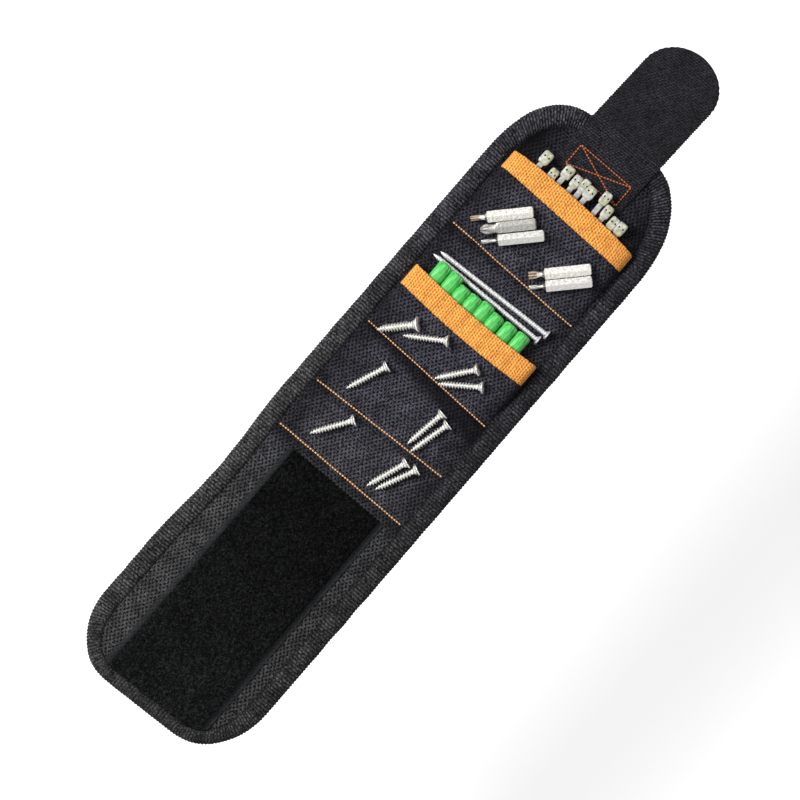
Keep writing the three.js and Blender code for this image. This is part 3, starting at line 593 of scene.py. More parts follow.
def tip_browning(graph, colour):
    """Browner at a bit's driving end."""
    end = graph.ramp(graph.step(graph.split()[0], *TIP_PLACES), (0.0, TIP_TINT), (1.0, (1, 1, 1)))
    return graph.multiplied(colour, end)


def plastic_material(name, colour, roughness, glow=0.0, vary=0.2, other=None, stretch=(1, 1, 1)):
    """Moulded plastic, a little cloudy, with patches of the other colour. Stretch draws its variation
    into streaks, which on the plugs are painted highlights along the ribs.
    """
    graph = Surface(name, roughness=roughness, specular=0.5)
    graph.shader.inputs["Subsurface Weight"].default_value = glow
    graph.shader.inputs["Subsurface Radius"].default_value = (1.5 * MM, 1.5 * MM, 1.0 * MM)
    base = graph.ramp(graph.speckle(5, 1), (0.3, colour), (0.7, other)) if other else colour
    graph.colour(graph.tinted(base, graph.speckle(1.5, 3, stretch), 1 - vary, 1 + vary))
    graph.roughness(graph.speckle(0.8, 3), roughness - 0.1, roughness + 0.2)
    graph.bump((graph.noise(0.6, 3), 0.08))
    return graph.material


def mesh_material():
    """Padded lining with a fine net over it."""
    graph = Surface("lining_net", roughness=0.9, specular=0.1)
    inputs = {"Vector": graph.uv, "Scale": 1 / 1.9, "Randomness": 0.15}
    cell = graph.add("ShaderNodeTexVoronoi", inputs, voronoi_dimensions="2D", feature="DISTANCE_TO_EDGE")
    net = graph.times(cell.outputs["Distance"], 2.6)
    colour = graph.ramp(net, (0.2, (0.03, 0.03, 0.033)), (0.55, (0.004, 0.004, 0.005)))
    graph.colour(graph.tinted(colour, graph.noise(12, 2), 0.7, 1.3))
    graph.bump((graph.less(1.0, net), 0.25))
    return graph.material


cloth = woven(
    "cloth_weave", (1.43, 1.0), (0.001, 0.001, 0.0015), (0.047, 0.0465, 0.056), 0.15,
    uneven=0.3, speck=0.85, gaps=0.75, shade=cloth_shade
)
binding_tape = woven(
    "binding_ribs", (RIB_PITCH, 0.75), (0.004, 0.004, 0.0045), (0.079, 0.079, 0.082), 0.2,
    ribs=0.6, uneven=0.3, speck=0.95, shade=binding_shade
)
pile = pile_material()
selvage = woven(
    "selvage_weave", (1.2, 0.8), (0.016, 0.017, 0.02), (0.03, 0.032, 0.036), 0.1, shade=selvage_shade
)
elastic = woven(
    "elastic_weave", (1.28, 0.7), (0.42, 0.075, 0.0), (1.0, 0.47, 0.11), 0.2,
    ribs=0.62, top=0.75, uneven=0.08, speck=0.3, slant=-1
)
webbing = woven(
    "webbing_weave", (1.2, 0.72), (0.002, 0.002, 0.003), (0.035, 0.035, 0.042), 0.3,
    ribs=0.6, speck=0.8, slant=1
)
strap_tape = woven(
    "tape_weave", (1.13, 0.77), (0.005, 0.005, 0.006), (0.029, 0.029, 0.034), 0.2,
    ribs=0.6, speck=0.7, slant=1
)
hooks = woven("hook_field", (1.1, 1.1), (0.004, 0.004, 0.005), (0.12, 0.12, 0.13), 0.5)
lining = mesh_material()
seam_thread = thread_material("seam_thread", SEAM_STITCH, (0.62, 0.22, 0.05), (1.0, 0.68, 0.38))
cross_thread = thread_material("cross_thread", CROSS_STITCH, (0.34, 0.07, 0.02), (0.62, 0.2, 0.08))
zinc = metal_material(
    "zinc_plate", (1.0, 0.99, 0.93), 0.4, stain=0.25, shade=thread_shade(THREAD_PITCH, 0.2), metallic=0.55
)
steel = metal_material(
    "drawn_steel", (0.82, 0.82, 0.83), 0.4, stain=0.35, shade=thread_shade(1.1, 0.5), metallic=0.7
)
nickel = metal_material("nickel_plate", (0.78, 0.76, 0.7), 0.3, stain=0.3, shade=tip_browning)
# A darker copy of the nickel plate: painted shade for the two thin bits whose lower faces lie dark
painted_shade_nickel = metal_material("shaded_nickel", (0.66, 0.65, 0.62), 0.3)
satin = metal_material("satin_nickel", (0.42, 0.41, 0.39), 0.45, stain=0.3, metallic=0.8)
magnet_plate = metal_material("magnet_plate", (0.6, 0.6, 0.62), 0.25)
# Stretched along each plug, its streaks are painted highlights along the ribs
plug_green = plastic_material(
    "plug_nylon", (0.08, 0.55, 0.105), 0.42, glow=0.4, vary=0.25, other=(0.12, 0.62, 0.14),
    stretch=(0.3, 1, 1)
)
tie_nylon = plastic_material(
    "tie_nylon", (0.46, 0.46, 0.31), 0.45, glow=0.2, vary=0.35, other=(0.53, 0.53, 0.47)
)
tail_nylon = plastic_material("tail_nylon", (0.44, 0.44, 0.42), 0.45, glow=0.1, vary=0.3)
# Near black: painted shadow for the openings in the ties' heads
tie_opening_shadow = plastic_material("tie_opening_shadow", (0.01, 0.01, 0.008), 0.8)


# Cloth, lining and binding


def cloth_top(x, y, offset):
    """Height of the outer cloth: puffed between the seams, drawn down at them and at the binding."""
    inside = smoothstep(offset, -0.4, SHOULDER)
    z = lerp(CLOTH_EDGE, CLOTH_CROWN, inside)
    for k in range(4):
        away = seam_distance(x, y, k)
        broad = np.where(away < 0, 6.5, 4.0) if k == 2 else 4.5
        pucker = 0.14 * np.cos(math.pi * y / SEAM_STITCH) * np.exp(-((away / 2.2) ** 2))
        sharp, soft = np.exp(-((away / 1.2) ** 2)), np.exp(-((away / broad) ** 2))
        z = z - inside * (0.7 * sharp + 0.5 * soft + pucker)
    return z + inside * (ripple(x, y, 14, 0.5) + ripple(x, y, 5, 0.16, 3.0))


def lining_under(x, y, offset):
    """Height of the lining's lower face: flat in the middle and drawn up at the seams and edges."""
    z = lerp(1.0, 0.0, smoothstep(offset, -0.3, 2.0))
    for k in range(4):
        z = np.maximum(z, 0.6 * np.exp(-((seam_distance(x, y, k) / 1.3) ** 2)))
    return z + np.abs(ripple(x, y, 9, 0.12, 7.0)) * smoothstep(offset, 0, 3)


def node_groups(part):
    groups = [[f"loop_end_{part}", f"section_a_{part}"]]
    return groups + [[f"section_{key}_{part}"] for key in "bcd"]


offsets = [-2.2, -0.7, 0.3, 1.2, 2.4, 3.6, 4.8]
layer = panel(offsets, 44, cloth_top)
cloth_pieces = banded("outer_cloth", *layer, cloth, "cloth", node_groups("cloth"), weld=True)
points, faces, uvs, labels = panel(offsets, 26, lining_under)
layer = (points, faces[:, ::-1], uvs, labels)
lining_pieces = banded("padded_lining", *layer, lining, "lining", node_groups("lining"), weld=True)


def build_binding():
    """The tape folded over the edge, in rings all round the band."""
    # Its section: share of its width in from the outer edge, and height
    section = [
        (1.0, 0.0), (0.6, 0.0), (0.25, 0.06), (0.08, 0.5), (0.0, 1.5), (0.0, 2.4), (0.04, 3.2), (0.12, 4.0),
        (0.25, 4.6), (0.4, 4.95), (0.55, 5.05), (0.7, 4.9), (0.84, 4.55), (0.95, 4.1), (1.0, 3.6),
        (0.97, 3.3), (0.3, 3.3), (0.22, 2.2), (0.3, 1.0), (1.0, 0.9),
    ]
    lines = []
    for share, _ in section:
        left, right = (edge_line(side, share * WIDTH) for side in (1, -1))
        lines.append(np.concatenate([left, right[::-1], left[:1]]))
    travel = travel_along(lines[RIM])
    count = RINGS_PER_RIB * round(travel[-1] / RIB_PITCH)
    at = np.linspace(0, travel[-1], count + 1)
    rings = np.empty((count + 1, len(section), 3))
    for k, (line, (_, z)) in enumerate(zip(lines, section)):
        rings[:, k, 0] = np.interp(at, travel, line[:, 0])
        rings[:, k, 1] = np.interp(at, travel, line[:, 1])
        rings[:, k, 2] = z
    outward = rings[:, RIM] - rings[:, 0]
    outward[:, 2] = 0
    outward /= np.linalg.norm(outward, axis=1)[:, None]
    rng = np.random.default_rng(3)
    ribs = np.repeat(rng.uniform(0.4, 1.6, count // RINGS_PER_RIB + 1), RINGS_PER_RIB)[: count + 1]
    swell = -RIB_DEPTH * ribs * np.cos(2 * np.pi * np.arange(count + 1) / RINGS_PER_RIB)
    uneven = ripple(rings[:, RIM, 0], rings[:, RIM, 1], 9, 0.25, 5.0)
    for k, (share, z) in enumerate(section[: LAST_OUTSIDE + 1]):
        if z > 0.3:
            rings[:, k] += (1 - share) * (swell + uneven)[:, None] * outward
        if z > 4:
            rings[:, k, 2] += swell + 0.4 * uneven
    around = travel_along(rings[0])
    uvs = uv_grid(at, around - around[LIP])
    faces = grid_faces(count + 1, len(section), wrap=True)[:, ::-1]
    middle = (rings[:-1, RIM, 0] + rings[1:, RIM, 0]) / 2
    labels = np.repeat(np.searchsorted(CUT_X, middle), len(section))
    nodes = [["loop_end_binding", "section_a_binding_left", "section_a_binding_right"]]
    nodes += [[f"section_{key}_binding_left", f"section_{key}_binding_right"] for key in "bc"]
    nodes += [["section_d_binding"]]
    banded("binding", rings.reshape(-1, 3), faces, uvs, labels, binding_tape, "binding", nodes)


build_binding()


# Loop pile tape

TAPE_SET_BACK = 4.9


def tape_start(y):
    """Where the tape meets the binding at the loop end."""
    inset = LOOP_BINDING - 0.4
    corners = [CORNERS["loop", side] for side in (-1, 1)]
    flats = [side * (HALF_WIDTH - across) for side, (_, across, _, _) in zip((-1, 1), corners)]
    if flats[0] < y < flats[1]:
        return float(np.interp(y, flats, [tip + inset for _, _, _, tip in corners]))
    along, across, _, tip = corners[int(y > 0)]
    beyond = (abs(y) - (HALF_WIDTH - across)) / (across - inset)
    return tip + along - (along - inset) * math.sqrt(1 - beyond**2)


def build_tape():
    rng = np.random.default_rng(7)
    inner = np.arange(TAPE_RIGHT + SELVAGE + 0.5, TAPE_LEFT - SELVAGE - 0.2, 0.75)
    left = [TAPE_LEFT - SELVAGE, TAPE_LEFT - SELVAGE / 2, TAPE_LEFT]
    right = [TAPE_RIGHT, TAPE_RIGHT + SELVAGE / 2, TAPE_RIGHT + SELVAGE]
    across = np.concatenate([right, inner, left])[::-1]
    rise = smoothstep(across, TAPE_RIGHT + SELVAGE - 0.6, TAPE_RIGHT + SELVAGE + 1.4)
    rise = rise * smoothstep(-across, -(TAPE_LEFT - SELVAGE + 0.6), -(TAPE_LEFT - SELVAGE - 1.4))
    start = np.array([tape_start(y) for y in across])
    end = SEAM_X[0] + SEAM_LEAN[0] * across - TAPE_SET_BACK
    shares = np.linspace(0, 1, 170)[:, None]
    x = lerp(start, end, shares)
    y = np.broadcast_to(across, x.shape).copy()
    fuzz = rng.random(x.shape) - 0.5
    near_end = smoothstep(end - x, 0, 1.6)
    y += rise * fuzz * 0.3
    z = TAPE_TOP + (rise * near_end) * (0.85 + 0.45 * fuzz) + ripple(x, y, 16, 0.15, 2.0)
    top = np.dstack([x, y, z])
    under = np.dstack([x, y, np.full(x.shape, TAPE_UNDER)])
    points, faces = slab(top, under)
    piece = make_mesh("loop_tape", points, faces, points[:, :2], pile)
    piece.data.materials.append(selvage)
    edges = np.abs(points[faces[:, :4], 1] - (TAPE_LEFT + TAPE_RIGHT) / 2).min(1)
    on_edge = edges > (TAPE_LEFT - TAPE_RIGHT) / 2 - SELVAGE - 0.1
    piece.data.polygons.foreach_set("material_index", on_edge.astype(int))
    placed(piece, "loop_end", "pile", "loop_pile_tape")


build_tape()


# Pockets

# Half the width between the side bindings, and of a pocket in it
INNER_HALF, POCKET_HALF = 35.7, 35.6

# Height of a pocket's underside at its seam and at its sides, and how far from the middle it is flat
POCKET_FOOT, POCKET_SIDE_FOOT = 3.2, 3.5
POCKET_FLAT_LEFT, POCKET_FLAT_RIGHT = 25.5, 22.5
POCKET_GAP = 0.3
SHEET_THICKNESS = 0.8


class Pocket:
    """A sheet that rises from a seam to its mouth, with an elastic hem over it. Its measures are the
    two slopes, its reach from the seam, the hem's width, how much the mouth and the hem's edge curve
    and lean, its fall, which is greater the nearer to its sides it drops to the band, and where the
    ridges over what it holds are, with their width and height."""

    def __init__(self, seam, **measures):
        self.seam = seam
        vars(self).update(measures)
        self.start_x = SEAM_X[seam] + POCKET_GAP
        self.mouth_x = SEAM_X[seam] + self.reach
        self.break_x = self.mouth_x - self.hem - 1

    def mouth(self, y):
        return self.mouth_x + self.lean * y + self.curve * (y / INNER_HALF) ** 2

    def hem_edge(self, y):
        return self.mouth_x - self.hem + self.lean * y + self.hem_curve * (y / INNER_HALF) ** 2

    def side(self, x):
        """Half the pocket's width, which follows the binding round the strap end's corner."""
        along, across, power, _ = CORNERS["band", 1]
        inset = BAND_BINDING + 0.1
        beyond = np.maximum(x - (BAND_END_X - along), 0) / (along - inset)
        corner = HALF_WIDTH - across + (across - inset) * (1 - beyond**power) ** (1 / power)
        return np.minimum(POCKET_HALF, corner)

    def under(self, x, y):
        rise = self.slope * (np.minimum(x, self.break_x) - self.start_x)
        plane = POCKET_FOOT + rise + self.mouth_slope * np.maximum(x - self.break_x, 0)
        first = np.where(y > 0, POCKET_FLAT_LEFT, POCKET_FLAT_RIGHT)
        beyond = np.clip((np.abs(y) - first) / (self.side(x) - first), 0, 1)
        flat = lerp(plane, POCKET_SIDE_FOOT, 1 - (1 - beyond**self.fall) ** (1 / self.fall))
        places, width, height = self.ridges
        swell = sum(np.exp(-(((y - place) / width) ** 2)) for place in places)
        near = smoothstep(x, self.break_x - 6, self.break_x + 6)
        return flat + height * near * swell + ripple(x, y, 7, 0.12, 9.0)


plug_nodes = [f"plug_{k + 1}" for k in range(8)]
plug_places = [float(sum(box(node)[k][1] for k in (0, 1)) / 2) for node in plug_nodes]
plug_pocket = Pocket(
    2, slope=0.36, mouth_slope=0.15, reach=32.1, hem=10.8, curve=1.5, hem_curve=1.5, lean=0.0, fall=4.0,
    ridges=(plug_places, 2.0, 0.5)
)
tie_pocket = Pocket(
    3, slope=0.21, mouth_slope=0.08, reach=42.6, hem=10.6, curve=-1.5, hem_curve=0.0, lean=0.02, fall=2.4,
    ridges=([-20, -9, 1, 9, 20], 3.5, 0.35)
)


def travelled(y, z):
    """The length along lines of falling y, which is 0 in their middle."""
    steps = np.hypot(np.diff(y, axis=-1), np.diff(z, axis=-1))
    length = np.concatenate([np.zeros_like(y[..., :1]), np.cumsum(steps, axis=-1)], axis=-1)
    return length[..., -1:] / 2 - length


def build_pocket(name, pocket):
    shares = np.linspace(1, -1, 72)
    rows = np.linspace(0, 1, 26)[:, None]
    y = shares * SEAM_REACH
    lead = SEAM_X[pocket.seam] + SEAM_LEAN[pocket.seam] * y + POCKET_GAP
    x = lerp(lead, pocket.mouth(y) - 0.8, rows)
    y = shares * pocket.side(x)
    under = pocket.under(x, y)
    points, faces = slab(np.dstack([x, y, under + SHEET_THICKNESS]), np.dstack([x, y, under]))
    uvs = np.dstack([x, travelled(y, under)]).reshape(-1, 2)
    piece = make_mesh(f"{name}_pocket_sheet", points, faces, np.concatenate([uvs, uvs]), cloth)
    seam_blend(piece)
    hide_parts(f"{name}_pocket_cloth")

    # The hem's section: share of its width, distance beyond that, and height over the sheet's underside
    section = [
        (0, 0, 0.85), (0, -0.05, 1.3), (0, 0.15, 1.65), (0, 0.9, 1.85), (0.25, 0, 1.95),
        (0.5, 0, 2.0), (0.75, 0, 1.95), (1, -0.9, 1.85), (1, -0.2, 1.6), (1, 0, 1.0),
        (1, -0.1, 0.3), (1, -0.9, -0.05), (1, -2.5, 0.0),
    ]
    across = np.linspace(1, -1, 110)
    y = across * pocket.side(pocket.mouth(0.0) - 3)
    fray = ripple(y, y * 0, 1.6, 0.25, 4.0)
    points = np.empty((len(y), len(section), 3))
    for k, (share, beyond, height) in enumerate(section):
        x = lerp(pocket.hem_edge(y) - fray, pocket.mouth(y) + fray, share) + beyond
        points[:, k] = np.column_stack([x, y, pocket.under(x, y) + height])
    uvs = uv_grid(travelled(*points[:, 4, 1:].T), travel_along(points[0]))
    faces = grid_faces(len(y), len(section), wrap=True)
    piece = make_mesh(f"{name}_pocket_elastic", points.reshape(-1, 3), faces, uvs, elastic)
    placed(piece, BODIES[pocket.seam + 1], "elastic", f"{name}_pocket_hem")


build_pocket("plug", plug_pocket)
build_pocket("tie", tie_pocket)


# Strap

STRAP_HALF = 19.0
STRAP_THICKNESS = 1.3
STRAP_ROOT_X = box("strap_webbing")[0][0]
STRAP_LEAN = -0.035
STATION_STEP = 0.6
TAPE_JOIN_X = BAND_END_X + 0.8
TAB_CORNER = 17.0

# How high the strap's underside lies where it is sewn on, at the band's end and at the tab
STRAP_LEVELS = (4.4, 5.25, 1.3)


def strap_under(x):
    sewn, end, tab = STRAP_LEVELS
    on_band = lerp(sewn, end, smoothstep(x, BAND_END_X - 14.3, BAND_END_X - 9.1))
    beyond = lerp(end, tab, smoothstep(x, BAND_END_X, BAND_END_X + 26))
    return np.where(x < BAND_END_X, on_band, beyond)


def strap_strip(stations, half, thickness, lift=0.0, lap=0.0):
    """Points and quads of a strip along the strap, its edges a little rounded. It lies higher by
    lift, and by lap more where it laps over the webbing."""
    shares = np.linspace(1, -1, 31)
    x = np.broadcast_to(stations[:, None], (len(stations), len(shares)))
    y = STRAP_LEAN * (x - BAND_END_X) + shares * half[:, None]
    under = strap_under(x) + lift + lap * smoothstep(-x, -TAPE_JOIN_X - 5, -TAPE_JOIN_X)
    edge = 1 - 0.4 * np.abs(shares) ** 10
    top = under + thickness * edge + ripple(x, y, 8, 0.1, 1.0)
    return slab(np.dstack([x, y, top]), np.dstack([x, y, under + thickness * (1 - edge) / 2]))


def serrated(stations, half):
    """Half widths that step in and out with the yarns that turn at the edge."""
    step = 0.2 * np.cos(math.pi * np.arange(len(stations)))
    return half + step + ripple(stations, 0 * stations, 1.7, 0.25)


def rounded_strip(start, inset, *heights):
    """A strip from start to the strap's rounded tip."""
    corner = STRAP_TIP_X - TAB_CORNER
    turn = np.linspace(0, math.pi / 2, 22)[1:]
    straight = np.arange(start, corner, STATION_STEP)
    stations = np.concatenate([straight, corner + (TAB_CORNER - inset) * np.sin(turn)])
    half = serrated(stations, STRAP_HALF - inset)
    half[-len(turn):] *= np.cos(turn)
    half[-1] = 0.3
    return strap_strip(stations, half, *heights)


def build_strap():
    stations = np.arange(STRAP_ROOT_X, TAPE_JOIN_X + 1.5, STATION_STEP)
    points, faces = strap_strip(stations, serrated(stations, STRAP_HALF), STRAP_THICKNESS)
    piece = make_mesh("strap_elastic", points, faces, points[:, :2], webbing)
    placed(piece, "section_d", "webbing", "strap_webbing")

    points, faces = rounded_strip(TAPE_JOIN_X, 0.0, 1.2, 0.0, 0.55)
    piece = make_mesh("hook_tape", points, faces, points[:, :2], strap_tape)
    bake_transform(piece)
    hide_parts("hook_tab")

    points, faces = rounded_strip(FOLD_X + 4, 1.5, 0.9, -1.1)
    piece = make_mesh("hook_field", points, faces, points[:, :2], hooks)
    placed(piece, "strap_tab", "hook", "hook_pad")


build_strap()


# Stitches


def stitches(name, paths, pitch, thread, material):
    """Rows of stitches along paths of points, each an arched length of thread."""
    parts = []
    sides = 8
    angles = np.linspace(0, 2 * math.pi, sides + 1) - math.pi / 2
    bend = np.linspace(-1, 1, 7)
    for path in paths:
        path = np.asarray(path, float)
        travel = travel_along(path)
        count = max(1, round(travel[-1] / pitch))
        for k in range(count):
            at = (k + 0.5 + bend * 0.53) / count * travel[-1]
            line = np.column_stack([np.interp(at, travel, path[:, axis]) for axis in range(3)])
            line[:, 2] += thread * (0.45 - 0.55 * np.abs(bend) ** 3)
            forward = line[-1] - line[0]
            forward /= np.linalg.norm(forward)
            aside = np.cross([0, 0, 1], forward)
            radius = thread / 2 * (1 - 0.5 * np.abs(bend) ** 3)
            ring = np.cos(angles)[:, None] * aside + np.sin(angles)[:, None] * [0, 0, 1]
            points = line[:, None] + radius[:, None, None] * ring
            share = pitch * (k + 0.5 + bend / 2)
            faces = grid_faces(len(bend), sides + 1)
            parts.append((points.reshape(-1, 3), faces, uv_grid(share, angles * thread / 2)))
    return make_mesh(name, *joined(parts), material)


def build_seam_stitches():
    for k in range(4):
        y = np.linspace(SEAM_REACH, -SEAM_REACH, 60)
        x = SEAM_X[k] + SEAM_LEAN[k] * y + ripple(y, y * 0, 14, 0.25, k + 1.0)
        offset = HALF_WIDTH - SIDE_BINDING - np.abs(y)
        heights = {"seam": cloth_top(x, y, offset), "under": lining_under(x, y, offset) - THREAD * 0.2}
        for name, z in heights.items():
            line = np.column_stack([x, y, z])
            piece = stitches(f"{name}_stitches_{k + 1}", [line], SEAM_STITCH, THREAD, seam_thread)
            seam_blend(piece)


def build_cross_stitches():
    left, right, near, far = 14.2, -14.7, STRAP_ROOT_X + 2.3, STRAP_ROOT_X + 13.0
    corners = [(near, left), (far, left), (far, right), (near, right)]
    ways = [(0, 1), (1, 2), (2, 3), (3, 0), (0, 2), (1, 3)]
    paths = []
    for a, b in ways:
        shares = np.linspace(0, 1, 12)
        plan = np.array([lerp(np.array(corners[a]), np.array(corners[b]), share) for share in shares])
        paths.append(np.column_stack([plan, strap_under(plan[:, 0]) + STRAP_THICKNESS]))
    piece = stitches("cross_stitches", paths, CROSS_STITCH, THREAD * 0.9, cross_thread)
    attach(piece, "section_d")


build_seam_stitches()
build_cross_stitches()


# Held hardware


def lie_of(node, corner_up=False):
    """How a long node lies: a matrix whose X runs from its narrow end, and its length."""
    mesh = frame["nodes"][node].data
    points = np.array([vertex.co for vertex in mesh.vertices], float) / MM
    points = np.unique(np.round(points, 3), axis=0)
    centre = points.mean(0)
    along = np.linalg.svd(points - centre, full_matrices=False)[2][0]
    place = (points - centre) @ along
    away = points - centre - place[:, None] * along
    radius = np.linalg.norm(away, axis=1)
    if radius[place > place.max() - 1].max() < radius[place < place.min() + 1].max():
        along, place = -along, -place
    upward = Vector((0, 0, 1))
    if corner_up:
        corners = away[radius > radius.max() * 0.98]
        upward = Vector(corners[corners[:, 2].argmax()])
    forward = Vector(along)
    sideways = upward.cross(forward).normalized()
    upward = forward.cross(sideways)
    matrix = Matrix((forward, sideways, upward)).transposed().to_4x4()
    matrix.translation = Vector(centre + place.min() * along)
    return matrix, place.max() - place.min()


def turned(node, part, stations, radius, sides, material, slot, corner_up=False, sharp=35):
    """A round piece in a node's place: radius takes the distance along it and the angle round it."""
    matrix, length = lie_of(node, corner_up)
    x = np.asarray(stations(length), float)[:, None]
    angle = np.linspace(0, 2 * math.pi, sides + 1)
    reach = radius(x, angle, length)
    points = np.stack([x + 0 * reach, reach * np.sin(angle), reach * np.cos(angle)], -1)
    spin = np.array(matrix)
    points = points.reshape(-1, 3) @ spin[:3, :3].T + spin[:3, 3]
    uvs = np.stack([x + 0 * reach, angle / (2 * math.pi) * TURN_UV + 0 * reach], -1).reshape(-1, 2)
    faces = grid_faces(len(x), sides + 1)
    piece = make_mesh(f"{node}_{part}", points, faces, uvs, material, True, math.radians(sharp))
    placed(piece, node, slot, node)


# Screws: width of shank and head, and length of the cone, the rim round it and the point
SMALL_SCREW = (2.8, 5.0, 2.4, 0.4, 4.0)
LARGE_SCREW = (3.5, 6.0, 2.8, 0.5, 4.5)
LARGE_NODE = "screw_7"


def build_screw(node, shank, head, cone, rim, point):
    neck = shank / 2 * 0.85

    def stations(length):
        flare = [length - cone - 1.2, length - cone, length - cone / 2, length - rim]
        recess = [length, length, length - 0.2, length - 1.2, length - 1.2]
        return [*np.arange(0, length - cone - 1.5, 0.17), *flare, *recess]

    def radius(x, angle, length):
        taper = np.clip(x / point, 0, 1) ** 0.75
        phase = (x / THREAD_PITCH - angle / (2 * math.pi)) % 1
        ridge = np.clip(1 - np.abs(phase - 0.5) * 4.2, 0, 1)
        body = shank / 2 * (0.66 * taper + 0.56 * ridge * np.clip(taper * 1.2, 0, 1))
        body = np.where(x > length - cone - 1.3, neck, body)
        flare = np.clip((x - (length - cone)) / (cone - rim), 0, 1) ** 1.6
        shape = body + (head * 0.56 - neck) * flare
        cross = 0.36 + 0.64 * np.abs(np.cos(2 * angle)) ** 8
        shape[-4:-1] = head / 2 * 0.52 * cross
        shape[-2] *= 0.6
        shape[-1] = 0
        return shape

    turned(node, "thread", stations, radius, 24, zinc, "zinc")


NAIL_SHANK, NAIL_HEAD = 1.08, 1.95


def build_nails():
    def stations(length):
        head = [length - 1.6, length - 0.9, length - 0.7, length - 0.15, length, length]
        return [0, 0.8, 2.0, 3.2, *np.arange(4, length - 2, 0.5), *head]

    def radius(x, angle, length):
        shank = NAIL_SHANK * np.clip(x / 3.2, 0, 1) ** 0.8
        flute = 0.1 * np.sin(4 * angle + x * 2.6) * (x > 4) * (x < length - 3)
        shape = shank + flute + 1.2 * smoothstep(x, length - 1.4, length - 0.7)
        shape[-2] = NAIL_HEAD
        shape[-1] = 0
        return shape

    for node in ("nail_1", "nail_2"):
        turned(node, "shank", stations, radius, 24, steel, "steel")


# Bits: half width of the driving tip and of its neck, how far the tip tapers, whether a corner of the
# hexagon is upwards, and the metal
BITS = [
    (1.2, 1.2, 0.4, True, nickel),
    (2.3, 2.0, 2.6, False, satin),
    (0.85, 0.8, 0.4, True, painted_shade_nickel),
    (1.8, 1.2, 0.5, True, nickel),
    (0.9, 0.8, 0.4, True, painted_shade_nickel),
]
HEX_START = 7.3
HEX_FLAT = 2.5


def build_bits():
    def stations(length):
        tip = [0, 0, 0.2, 0.5, 1.0, 1.7, 2.5, 3.3, 4.1, 5.0, 5.8, 6.5]
        hexagon = [HEX_START - 0.3, HEX_START + 0.5, HEX_START + 1.1, HEX_START + 2]
        return [*tip, *hexagon, length - 2, length - 0.6, length - 0.2, length, length]

    for k, (half, neck, taper, corner_up, metal) in enumerate(BITS):

        def radius(x, angle, length, half=half, neck=neck, taper=taper):
            flats = HEX_FLAT / np.cos((angle % (math.pi / 3)) - math.pi / 6)
            wing = 0.65 + 0.35 * np.abs(np.cos(2 * angle)) ** 2
            point = half * (1 - 0.65 * (1 - np.clip(x / taper, 0, 1)) ** 1.6)
            tip = lerp(point * wing, neck, smoothstep(x, 3.4, 5.2))
            shape = lerp(tip, flats, smoothstep(x, HEX_START - 0.9, HEX_START + 0.6))
            shape = np.where(x > length - 0.3, np.minimum(shape, HEX_FLAT - 0.1), shape)
            shape[-2] = np.minimum(shape[-2], HEX_FLAT - 0.5)
            shape[[0, -1]] = 0
            return shape

        turned(f"bit_{k + 1}", "hexagon", stations, radius, 48, metal, "chrome", corner_up, sharp=25)


def build_plugs():
    def stations(length):
        front = [-0.35, -0.3, 0, 0.35, 0.8, 1.3, 2.0, 2.9, 3.4]
        rim = [length - 1.2, length - 0.5, length, length - 0.1, length - 8, length - 8]
        return [*front, *np.linspace(4.0, length - 2.2, 22), *rim]

    def radius(x, angle, length):
        rib = np.abs(np.cos(8 * angle)) ** 0.8
        blunt = np.interp(x, [-0.35, -0.3, 0, 0.35, 1.3, 2.9, 4.0], [0, 0.6, 0.78, 0.85, 0.93, 0.99, 1.0])
        notch = 0.3 * (np.abs(np.cos(2 * angle)) < 0.3) * (x > -0.2) * (1 - smoothstep(x, 1.0, 3.4))
        crown = 1 + 0.1 * np.cos(8 * angle) * (x > -0.2) * (1 - smoothstep(x, 0.5, 3.0))
        plain = smoothstep(x, length - 2.0, length - 1.2)
        barb = 0.03 * np.abs(np.sin(x * 1.35)) * (x > 3)
        wide = 1 + 0.18 * np.abs(np.sin(angle)) * (1 - plain)
        shape = PLUG_RADIUS * wide * blunt * crown * (1 - (0.05 * (1 - rib) + barb) * (1 - plain) - notch)
        shape[-4] = PLUG_RADIUS * 0.93
        shape[-3:-1] = PLUG_BORE
        shape[[0, -1]] = 0
        return shape

    for node in plug_nodes:
        turned(node, "ribs", stations, radius, 64, plug_green, "plug_plastic", sharp=55)


# Cable ties: shares of how far a head stands out and lies across and of its width, and its turn in degrees
TIES = [
    (0.62, 0.79, 1, -2), (0.19, 0.543, 0.86, 1), (0.77, 0.384, 1, -1), (0.68, 0.189, 0.86, 0),
    (0.79, 0.048, 0.8, 1), (0.71, -0.086, 1, 0), (1, -0.332, 0.86, 1), (0.55, -0.489, 0.86, 0),
    (0.32, -0.675, 0.86, -1), (0.35, -0.821, 0.92, 0),
]
TIE_OUT, TIE_ACROSS, TIE_LENGTH, TIE_TAIL_HALF = 9.15, 28.0, 33.0, 1.2
TIE_TILT = math.radians(6.5)
TIE_ROOT_Z = 5.0
TIE_STAGGER = 0.12
TIE_HEAD = [(3.0, 1.4), (2.75, 2.1), (1.7, 2.45), (-2.0, 2.45), (-3.0, 2.05), (-3.5, 1.2)]
TIE_HEAD_LEVELS = [
    (0.0, -1.5), (0.84, -1.5), (1.0, -1.1), (1.0, 0.95), (0.95, 1.35), (0.84, 1.6), (0.65, 1.68), (0.0, 1.68)
]


